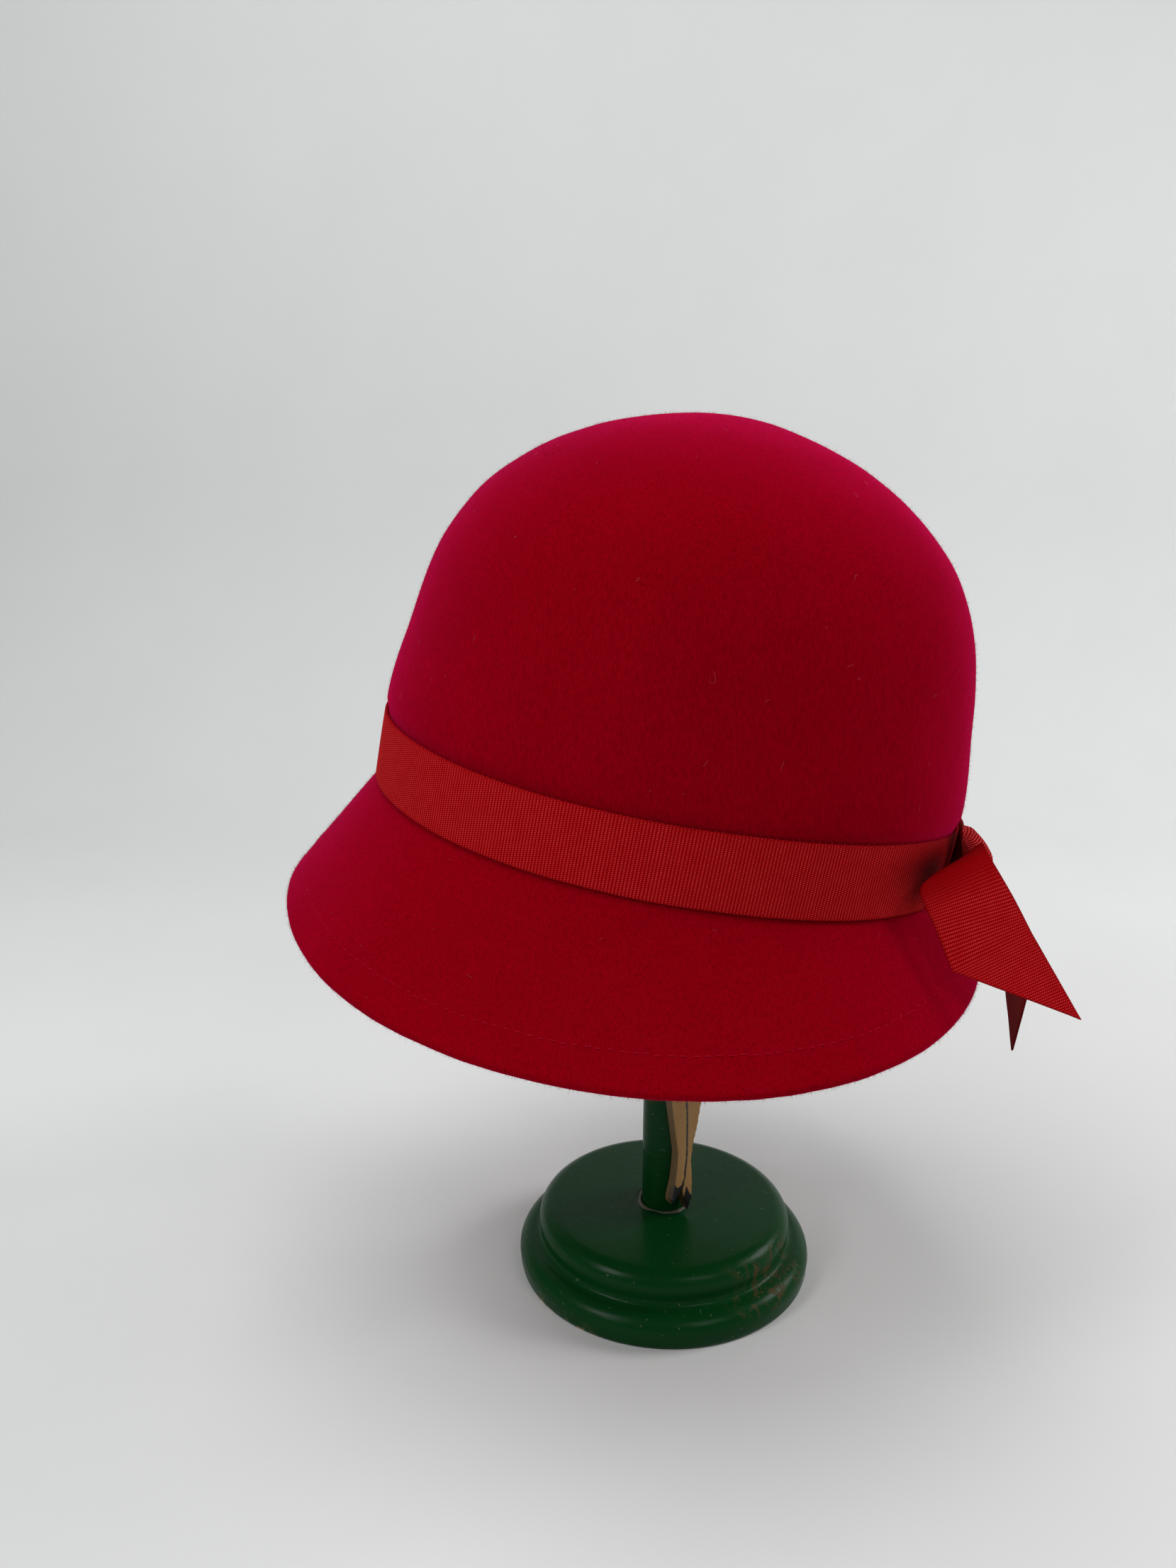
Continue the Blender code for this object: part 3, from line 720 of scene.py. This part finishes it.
def band_piece(material):
    """The ribbon around the crown, its ribs upright, with soft edges and a painted shadow beside the bow.

    Gives the piece and the ribbon's length around the crown.
    """
    turn = np.linspace(0, 2 * math.pi, 1441)
    ring = crown(turn, np.full(len(turn), 0.085))
    run = arc_length(ring)
    ribs = int(round(run[-1] / RIB_PITCH))
    per_rib = 5
    around = ribs * per_rib
    at = np.arange(around) * run[-1] / around
    turns = np.interp(at, run, turn)
    phase = np.arange(around) / per_rib
    rows_up = np.concatenate([[0, 0.012, 0.03], np.linspace(0.06, 0.94, 9), [0.97, 0.988, 1]])
    ripple = np.interp(turns, turn, waves(ring, 0.05, 31, 2))
    rings, shares, edge = [], [], []
    for side in (1, -1):
        order = rows_up if side == 1 else rows_up[::-1]
        for share in order:
            rim = min(share, 1 - share) * RIBBON_WIDTH / MM
            round_off = 1 - math.sqrt(max(0, 1 - max(0, 1 - rim / 0.35) ** 2))
            height = GAP + RIBBON_WIDTH * share + 0.12 * MM * ripple
            face, out = crown_at(turns, height)
            bulge = 0.18 * MM * math.sin(math.pi * share) * (0.6 + 0.4 * ripple)
            if side == 1:
                offset = GAP + RIBBON - 0.45 * MM * round_off + bulge * 0.6
                offset = offset + 0.13 * MM * (rib_shape(phase) - 1) * (1 - round_off)
            else:
                offset = GAP + 0.25 * MM * round_off + 0 * phase
            rings.append(face + out * np.broadcast_to(offset, turns.shape)[:, None])
            shares.append(share)
            # The edge layer marks painted shade along the band's two edges.
            edge.append(max(0, 1 - rim / 0.9))
    points = np.concatenate(rings)
    faces = grid_faces(len(rings), around, wrap_rows=True, wrap_columns=True)
    made = mesh_piece("hat_band", points, faces, material)
    bow_side = np.degrees(np.tile(turns, len(rings)))
    up = np.repeat(shares, around)
    # Painted shadow: the band darkened beside the bow, where the near tail and the roll shade it.
    deep = np.exp(-((bow_side - 157) / 11) ** 2 - ((up - 0.60) / 0.38) ** 2)
    deep = np.maximum(deep, np.exp(-((bow_side - 168) / 7) ** 2))
    set_layer(made, "painted_shade", 0.94 * deep)
    set_layer(made, "phase", np.tile(phase, len(rings)))
    set_layer(made, "thread", up * RIBBON_WIDTH / THREAD_PITCH)
    set_layer(made, "edge", np.repeat(edge, around))
    return made, run[-1]


def band_loops(material):
    """Small thread loops that hold the band's upper edge to the crown."""
    count = int(math.pi * (HEAD_LENGTH + HEAD_WIDTH) / 2 / LOOP_PITCH)
    rise = np.array([0.45, 0.4, 0.2, 0.0, -0.2, -0.4, -0.5]) * MM
    lift = np.array([-0.15, 0.15, 0.6, 1.0, 1.15, 1.15, 0.85]) * MM
    parts = []
    for k in range(count):
        middle = 2 * math.pi * (k + 0.2 * random.uniform(-1, 1)) / count
        lean = random.uniform(0.3, 0.8) * MM / HEAD_LENGTH * 2
        turn = middle + lean * np.linspace(-1, 1, 7)
        face, out = crown_at(turn, GAP + RIBBON_WIDTH + rise)
        parts.append(tube(face + out * lift[:, None], 0.08 * MM, 5, taper=False))
    return mesh_piece("band_loops", *join(parts), material)


def bow_place(values):
    """Shares of RIBBON_WIDTH from the middle of the band at the back, to the hat's frame."""
    seat = HEAD_LENGTH / 2 + GAP + RIBBON
    return np.stack([values[..., 0] * RIBBON_WIDTH, seat + values[..., 1] * RIBBON_WIDTH,
                     (0.5 + values[..., 2]) * RIBBON_WIDTH], -1)


def tail_piece(name, table, material, calm_to=0, painted_shade=0.0):
    """A tail with its ribs across, from the two edges in its table, cut straight to its tip.

    calm_to is the table's row that the stretch without ribs reaches. Gives the piece, the width and
    length of the flat ribbon that it is cut from, and its flat area.
    """
    edge_a, edge_b = bow_place(table[:, :3]), bow_place(table[:, 3:])
    edges = np.concatenate([edge_a, edge_b], 1)
    body, tip = edges[:-1], edges[-1]
    knots = arc_length((body[:, :3] + body[:, 3:]) / 2)
    dense = np.linspace(0, knots[-1], 400)
    lines = smooth(knots, body, dense)
    cut = body[-1] + (tip - body[-1]) * np.linspace(0, 1, 121)[1:, None]
    lines = np.concatenate([lines, cut])
    edge_runs = arc_length(lines[:, :3]), arc_length(lines[:, 3:])
    length = sum(edge_runs) / 2
    ribs = int(length[-1] / RIB_PITCH)
    per_rib = 6
    rows = ribs * per_rib + 1
    at = np.linspace(0, length[-1], rows)
    sheet = np.stack([np.interp(at, length, lines[:, k]) for k in range(6)], 1)
    across = 29
    share = np.linspace(0, 1, across)
    share = 0.5 - 0.5 * np.cos(math.pi * share) * (1 - 0.25 * np.sin(math.pi * share))
    points = sheet[:, None, :3] * (1 - share)[None, :, None] + sheet[:, None, 3:] * share[None, :, None]
    along = np.gradient(points, axis=0)
    side = np.gradient(points, axis=1)
    normal = np.cross(along, side)
    size = np.linalg.norm(normal, axis=-1, keepdims=True)
    normal = normal / np.maximum(size, 1e-12)
    normal[-per_rib:] = normal[-per_rib - 1]
    phase = np.arange(rows)[:, None] / per_rib + 0 * share[None]
    width = np.linalg.norm(points[:, 0] - points[:, -1], axis=1)
    rim = np.minimum(share, 1 - share)[None] * width[:, None]
    round_off = 1 - np.sqrt(np.clip(1 - np.clip(1 - rim / (0.35 * MM), 0, 1) ** 2, 0, 1))
    rib = rib_shape(phase)
    half = 0.36 * MM
    drift = waves(points, 0.03, 41, 2) * 0.15 * MM
    centre = points + normal * drift[..., None]
    calm = np.zeros((rows, 1))
    if calm_to:
        calm_end = np.interp(knots[calm_to], dense, length[:len(dense)]) + 2.5 * MM
        calm = 0.9 * (1 - soft_step((at[:, None] - calm_end + 4 * MM) / (13 * MM)))
    lift = half * (1 - 0.6 * round_off) + 0.045 * MM * (rib - 1) * (1 - round_off) * (1 - calm)
    front = centre + normal * lift[..., None]
    back = centre - normal * lift[..., None]
    count = rows * across
    faces = grid_faces(rows, across)
    under = faces[:, ::-1] + count
    sides = []
    for i in range(rows - 1):
        a, b = i * across, (i + 1) * across
        sides.append([b, a, a + count, b + count])
        sides.append([a + across - 1, b + across - 1, b + across - 1 + count, a + across - 1 + count])
    for j in range(across - 1):
        sides.append([j, j + 1, j + 1 + count, j + count])
        k = (rows - 1) * across + j
        sides.append([k + 1, k, k + count, k + 1 + count])
    made = mesh_piece(name, np.concatenate([front.reshape(-1, 3), back.reshape(-1, 3)]),
                      list(faces) + list(under) + sides, material)
    thread = share[None] * width[:, None] / THREAD_PITCH
    # Painted shade along the tail's edges.
    edge = np.clip(1 - rim / (0.8 * MM), 0, 1)
    flat = np.zeros(rib.shape)
    # The shade layer: the given painted shade all over, and more painted shade over the smooth stretch at
    # the tail's top.
    for layer, values in (("phase", phase), ("thread", thread), ("edge", edge), ("calm", flat + calm),
                          ("painted_shade", flat + painted_shade + 0.30 * calm)):
        set_layer(made, layer, np.concatenate([values.ravel(), values.ravel()]))
    long_edge = max(run[-1] for run in edge_runs)
    cells = np.linalg.norm(np.cross(along, side), axis=-1)
    area = (cells[:-1, :-1] + cells[1:, 1:] + cells[:-1, 1:] + cells[1:, :-1]).sum() / 4
    return made, (width.max(), long_edge), area


def knot_piece(material):
    """The roll around the bow's middle, its ribs level along it and bent down over its near edge."""
    half_height = RIBBON_WIDTH / 2 + KNOT_OVERHANG
    run = arc_length(ROLL_OUTLINE[:, :2] * [half_height, KNOT_DEPTH])
    per_rib = 6
    count = int(run[-1] / RIB_PITCH) * per_rib
    at = np.linspace(0, run[-1], count)
    outline = smooth(run, ROLL_OUTLINE, at)
    slope = unit(np.gradient(outline[:, :2] * [half_height, KNOT_DEPTH], axis=0))
    ridge = rib_shape(at / RIB_PITCH)
    fade = soft_step(np.minimum(at, run[-1] - at) / (2 * MM))
    backs = np.linspace(0.8, -0.8, 12)
    across = np.sin(np.linspace(-1, 1, 49) * math.pi / 2)
    sections = smooth(ROLL_SECTIONS[:, 0], ROLL_SECTIONS[:, 1:], across)
    points, phases = [], []
    for share, (drop, deep) in zip(across, sections):
        side = share * KNOT_WIDTH / 2 - KNOT_SHIFT
        relief = 0.22 * MM * (ridge - 1) * fade * (1 - abs(share) ** 8)
        pleat = 0.25 * MM * math.sin(share * 5 + 0.6) * fade
        up = outline[:, 0] * (1 - outline[:, 2] * drop) * half_height - slope[:, 1] * relief
        out = outline[:, 1] * deep * KNOT_DEPTH + slope[:, 0] * (relief + pleat)
        up = np.concatenate([up, backs * half_height])
        out = np.concatenate([out, 0 * backs])
        turn = np.full(len(up), math.pi - math.asin(side * 2 / HEAD_WIDTH))
        face, normal = crown_at(turn, RIBBON_WIDTH / 2 + GAP + up)
        points.append(face + normal * (2 * GAP + RIBBON + out)[:, None])
        phases.append(np.concatenate([at / RIB_PITCH, 0.5 + 0 * backs]))
    around = len(points[0])
    rows = len(points)
    points = np.concatenate(points)
    faces = [list(q) for q in grid_faces(rows, around, wrap_columns=True)]
    for first in (0, (rows - 1) * around):
        points = np.concatenate([points, [points[first:first + around].mean(0)]])
        faces += fan(len(points) - 1, first, around, flip=first == 0)
        phases.append([0.5])
    made = mesh_piece("bow_knot", points, faces, material)
    face_outward(made)
    phase = np.concatenate(phases)
    set_layer(made, "phase", phase)
    set_layer(made, "thread", points[:, 0] / THREAD_PITCH)
    # Painted highlights joined into lines along the ribs, and painted shade in the grooves between ribs.
    set_layer(made, "line", np.full(len(points), 0.8))
    set_layer(made, "painted_shade", 0.7 * (1 - rib_shape(phase)) + 0.05)
    return made


# The stand
def lathe(name, profile, material, steps=256, place=Matrix.Identity(4)):
    """A closed solid turned about +Z from a profile that starts and ends on the axis."""
    profile = np.asarray(profile)
    angle = np.arange(steps) * 2 * math.pi / steps
    inner = profile[1:-1]
    points = np.stack([inner[:, None, 0] * np.cos(angle), inner[:, None, 0] * np.sin(angle),
                       inner[:, None, 1] + 0 * angle], -1).reshape(-1, 3)
    points = np.concatenate([points, [[0, 0, profile[0][1]], [0, 0, profile[-1][1]]]])
    faces = [list(q) for q in grid_faces(len(inner), steps, wrap_columns=True)]
    last = (len(inner) - 1) * steps
    faces += fan(len(points) - 2, 0, steps) + fan(len(points) - 1, last, steps, flip=True)
    made = mesh_piece(name, points, faces, material, place=place)
    face_outward(made)
    made.data.set_sharp_from_angle(angle=math.radians(50))
    return made, points


def arc(middle, radius, start_deg, end_deg, count=20):
    angles = np.radians(np.linspace(start_deg, end_deg, count))
    return [(middle[0] + radius * math.cos(a), middle[1] + radius * math.sin(a)) for a in angles]


def patch(points, azimuth_deg, low, high, half_deg, fade=4 * MM):
    """1 inside a stretch of the rim between two heights, fading to 0 around it."""
    azimuth = np.degrees(np.arctan2(points[:, 1], points[:, 0]))
    away = np.abs((azimuth - azimuth_deg + 180) % 360 - 180) / half_deg
    height = points[:, 2]
    inside = np.clip((height - low) / fade + 1, 0, 1) * np.clip((high - height) / fade + 1, 0, 1)
    return np.clip(1.6 - 1.6 * away, 0, 1) * inside


def base_piece(material):
    """The two turned steps, their worn and chipped places marked for the paint."""
    hole = POST_RADIUS + GAP
    floor = BASE_HEIGHT - SOCKET_DEPTH
    foot_top = FOOT_MIDDLE + FOOT_ROUND
    profile = [(0, floor), (hole, floor), (hole, BASE_HEIGHT - 0.4 * MM), (hole + 0.4 * MM, BASE_HEIGHT)]
    profile += [(hole + (STEP_RADIUS - STEP_ROUND - hole) * k / 12, BASE_HEIGHT) for k in range(1, 12)]
    profile += arc((STEP_RADIUS - STEP_ROUND, BASE_HEIGHT - STEP_ROUND), STEP_ROUND, 90, 0)
    profile += [(STEP_RADIUS - FOOT_INSET / 2, STEP_FOOT + 1.5 * MM), (STEP_RADIUS - FOOT_INSET, STEP_FOOT)]
    profile += [(STEP_RADIUS - FOOT_INSET / 2, foot_top + 1.1 * MM)]
    profile += [(STEP_RADIUS + FOOT_INSET, foot_top + GAP)]
    profile += arc((BASE_RADIUS - FOOT_ROUND, FOOT_MIDDLE), FOOT_ROUND, 90, 0)
    profile += [(BASE_RADIUS - FOOT_INSET / 2, FOOT_INSET * 3), (BASE_RADIUS - FOOT_INSET, FOOT_INSET)]
    profile += [(BASE_RADIUS - 2 * FOOT_INSET, 0), (0, 0)]
    made, points = lathe("base", profile, material)
    chip = np.maximum(patch(points, CHIP_AZIMUTH, -2 * MM, 0.8 * MM, 14, 1.5 * MM),
                      patch(points, CHIP_AZIMUTH + 19, -2 * MM, 0.4 * MM, 6, 1.5 * MM))
    set_layer(made, "worn", patch(points, WORN_AZIMUTH, 9 * MM, 19 * MM, 26))
    set_layer(made, "chip", chip)
    return made


def post_piece(material, low, high):
    """The post, with the soft edge that turning and painting leave."""
    soft = 0.6 * MM
    profile = [(0, high), (POST_RADIUS - soft, high), (POST_RADIUS, high - soft)]
    fall = (low + 2 * soft - high) / 40
    profile += [(POST_RADIUS + 0.05 * MM * math.sin(k * 1.9), high - soft + fall * k)
                for k in range(1, 40)]
    profile += [(POST_RADIUS, low + soft), (POST_RADIUS - soft, low), (0, low)]
    return lathe("post", profile, material, 128)[0]


def glue_piece(material):
    """An uneven bead of old glue round the post's foot."""
    steps, around = 160, 8
    angle = np.arange(steps) * 2 * math.pi / steps
    ring = np.stack([np.cos(angle), np.sin(angle), 0 * angle], -1)
    spread = 1.15 + 0.5 * waves(ring * 10 * MM, 0.012, 51, 2)
    points = []
    for turn, wide in zip(angle, spread):
        for k in range(around):
            swing = 2 * math.pi * k / around
            radius = POST_RADIUS + GAP + (0.5 + 0.5 * math.cos(swing)) * wide * MM * 1.2
            up = BASE_HEIGHT + 0.04 * MM + 0.22 * MM * max(0, math.sin(swing)) * wide
            points.append((radius * math.cos(turn), radius * math.sin(turn), up))
    faces = grid_faces(steps, around, wrap_rows=True, wrap_columns=True)
    return mesh_piece("post_glue", points, faces[:, ::-1], material, place=Matrix.Identity(4))


def line_distance(points, line):
    nearest = np.full(len(points), 1e9)
    for a, b in zip(line, line[1:]):
        edge = b - a
        share = np.clip(((points - a) @ edge) / (edge @ edge), 0, 1)
        nearest = np.minimum(nearest, np.linalg.norm(points - a - share[:, None] * edge, axis=1))
    return nearest


def polygon_distance(points, polygon):
    """Distance to a closed polygon's edge, less than 0 inside."""
    closed = np.concatenate([polygon, polygon[:1]])
    inside = np.zeros(len(points), bool)
    for a, b in zip(closed, closed[1:]):
        crosses = (a[1] > points[:, 1]) != (b[1] > points[:, 1])
        rise = np.where(b[1] == a[1], 1, b[1] - a[1])
        inside ^= crosses & (points[:, 0] < (b - a)[0] * (points[:, 1] - a[1]) / rise + a[0])
    nearest = line_distance(points, closed)
    return np.where(inside, -nearest, nearest)


def board_piece(material):
    """The board cut to its outline, on a grid fine enough for its painted line and feet."""
    cut = bmesh.new()
    cut.faces.new([cut.verts.new((x * BOARD_WIDTH, y * BOARD_HEIGHT, 0)) for x, y in BOARD_OUTLINE])
    heights = np.concatenate([np.arange(0.6, 52, 0.6), np.arange(54, 138, 6)])
    cuts = [((1, 0, 0), x) for x in np.arange(-8.4, 9.9, 0.6)] + [((0, 1, 0), y) for y in heights]
    for normal, at in cuts:
        bmesh.ops.bisect_plane(cut, geom=cut.verts[:] + cut.edges[:] + cut.faces[:], dist=1e-7,
                               plane_co=[value * at * MM for value in normal], plane_no=normal)
    cut.verts.ensure_lookup_table()
    flat = np.array([(v.co.x, v.co.y) for v in cut.verts])
    tops = [[v.index for v in face.verts] for face in cut.faces]
    rim = [tuple(v.index for v in edge.verts) for edge in cut.edges if len(edge.link_faces) == 1]
    cut.free()
    on_rim = np.zeros(len(flat), bool)
    on_rim[np.array(rim).ravel()] = True
    count = len(flat)
    half, lip = BOARD_THICKNESS / 2, 0.22 * MM
    rough = waves(np.c_[flat, 0 * flat[:, 0]], 0.006, 61, 2) * 0.10 * MM
    top = np.where(on_rim, half - lip + rough - 0.1 * MM, half)
    levels = [top, np.full(count, half - 2 * lip), np.full(count, -half)]
    points = np.concatenate([np.c_[flat, level] for level in levels])
    faces = [list(face) for face in tops] + [[i + 2 * count for i in face[::-1]] for face in tops]
    for a, b in rim:
        for level in (0, count):
            faces.append([a + level, b + level, b + level + count, a + level + count])
    used = np.concatenate([np.ones(count, bool), on_rim, np.ones(count, bool)])
    number = np.cumsum(used) - 1
    faces = [[number[i] for i in face] for face in faces]
    away = POST_RADIUS + GAP + half
    low = BASE_HEIGHT + BOARD_LIFT
    place = Matrix.Translation((away * math.cos(BOARD_TURN), away * math.sin(BOARD_TURN), low))
    place = place @ Matrix.Rotation(math.pi / 2 + BOARD_TURN, 4, "Z") @ Matrix.Rotation(math.pi / 2, 4, "X")
    made = mesh_piece("board", points[used], faces, material, place=place)
    face_outward(made)
    made.data.set_sharp_from_angle(angle=math.radians(40))
    at = flat / MM + [0, low / MM]
    gap = line_distance(at, BOARD_LINE) - 0.30
    for foot in BOARD_FEET:
        gap = np.minimum(gap, polygon_distance(at, foot))
    ink = np.clip(0.5 - gap / 2, 0, 1)
    side = np.concatenate([np.zeros(count), np.ones(2 * count)])
    set_layer(made, "ink", np.concatenate([ink, ink, 0 * ink])[used])
    set_layer(made, "side", side[used])
    return made


# Build it
felt = felt_material()
fibre = fuzz_material("felt_fibre", (0.30, 0.0008, 0.011))
pale = fuzz_material("pale_lint", (0.42, 0.10, 0.12))
thread = fuzz_material("stitch_thread", (0.34, 0.004, 0.018))
ribbon = ribbon_material()
paint = paint_material()
board = board_material()
glue = plain_material("old_glue", (0.085, 0.085, 0.055), 0.6, 700, 0.5)
post_ends = [corner[2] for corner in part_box("stand_post")]
hat = felt_piece(felt)
band, band_length = band_piece(ribbon)
near_tail, near_flat, near_area = tail_piece("bow_tail_near", NEAR_TAIL, ribbon, calm_to=3)
# The far tail is painted darker all over: painted shade for a tail that lies in its own shadow.
far_tail, far_flat, far_area = tail_piece("bow_tail_far", FAR_TAIL, ribbon, painted_shade=0.6)
knot = knot_piece(ribbon)

pieces = [
    (hat, "felt", ["felt_hat"]),
    (nap_piece("crown_nap", CROWN_END, BAND_END, 44000, fibre), "felt", []),
    (nap_piece("brim_nap", 0.0, 1.0, 36000, fibre), "felt", []),
    (edge_fuzz_piece(fibre), "felt", []),
    (lint_piece(pale), "felt", []),
    (stitch_row(thread), "felt", []),
    (band, "ribbon", ["ribbon_band"]),
    (band_loops(thread), "ribbon", []),
    (near_tail, "ribbon", ["ribbon_tail_near"]),
    (far_tail, "ribbon", ["ribbon_tail_far"]),
    (knot, "ribbon", ["ribbon_knot"]),
    (base_piece(paint), "paint", ["stand_base"]),
    (post_piece(paint, *post_ends), "paint", ["stand_post"]),
    (glue_piece(glue), "paint", []),
    (board_piece(board), "wood", ["stand_board"]),
]
for made, slot, nodes in pieces:
    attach(made, "root")
    if nodes:
        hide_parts(*nodes)

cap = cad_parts["stand_cap"]
cap.data.materials.clear()
cap.data.materials.append(paint)


# Studio
def studio():
    cloth = plain_material("pale_floor", (0.69, 0.695, 0.69), 0.9, 9, 0.03)
    profile = [(-5.0, 0.0)]
    depth, corner = 0.55, 0.30
    profile += arc((depth, corner), corner, -90, 0, 13) + [(depth + corner, 2.2)]
    points = [(side, away, up) for away, up in profile for side in (-5.0, 5.0)]
    floor = mesh_piece("floor", points, grid_faces(len(profile), 2), cloth,
                       place=Matrix.Rotation(CAMERA_TURN + math.pi / 2, 4, "Z"))

    def lamp(name, azimuth, elevation, distance, size, power, colour=(1, 1, 1)):
        """A soft square light; azimuth is measured from the camera, to the right."""
        data = bpy.data.lights.new(name, "AREA")
        data.shape = "RECTANGLE"
        data.size, data.size_y = size
        data.energy = power
        data.color = colour
        made = bpy.data.objects.new(name, data)
        turn = CAMERA_TURN + math.radians(azimuth)
        lift = math.radians(elevation)
        middle = Vector((0, 0, 0.17))
        away = Vector((math.cos(lift) * math.cos(turn), math.cos(lift) * math.sin(turn), math.sin(lift)))
        made.location = middle + away * distance
        made.rotation_euler = (-away).to_track_quat("-Z", "Y").to_euler()
        bpy.context.scene.collection.objects.link(made)

    lamp("window_left", -54, 34, 1.3, (0.35, 0.50), 5.0, (0.98, 0.99, 1.0))
    lamp("window_right", 32, 38, 1.3, (0.45, 0.30), 1.7, (1.0, 0.99, 0.97))
    lamp("window_behind", 99, 26, 1.2, (0.5, 0.5), 7.5)
    lamp("overhead", -80, 76, 1.2, (1.0, 1.0), 9.2)
    world = bpy.data.worlds.new("studio")
    world.use_nodes = True
    world.node_tree.nodes["Background"].inputs[0].default_value = (0.93, 0.96, 1.0, 1)
    world.node_tree.nodes["Background"].inputs[1].default_value = 0.20
    bpy.context.scene.world = world


def camera():
    focal_pixels = 1662
    data = bpy.data.cameras.new("camera")
    data.sensor_fit = "VERTICAL"
    data.sensor_height = 36.0
    data.lens = focal_pixels * data.sensor_height / PHOTO_HEIGHT
    data.clip_start, data.clip_end = 0.01, 20
    made = bpy.data.objects.new("camera", data)
    made.location = (0.3952, 0.0759, 0.2843)
    forward = Vector((-0.9387, -0.2515, -0.2360)).normalized()
    up = Vector((-0.2280, -0.0611, 0.9718)).normalized()
    right = forward.cross(up).normalized()
    up = right.cross(forward)
    turn = Matrix((right, up, -forward)).transposed().to_4x4()
    made.matrix_world = Matrix.Translation(made.location) @ turn
    bpy.context.scene.collection.objects.link(made)
    bpy.context.scene.camera = made


studio()
camera()
bpy.context.scene.view_settings.view_transform = "Standard"
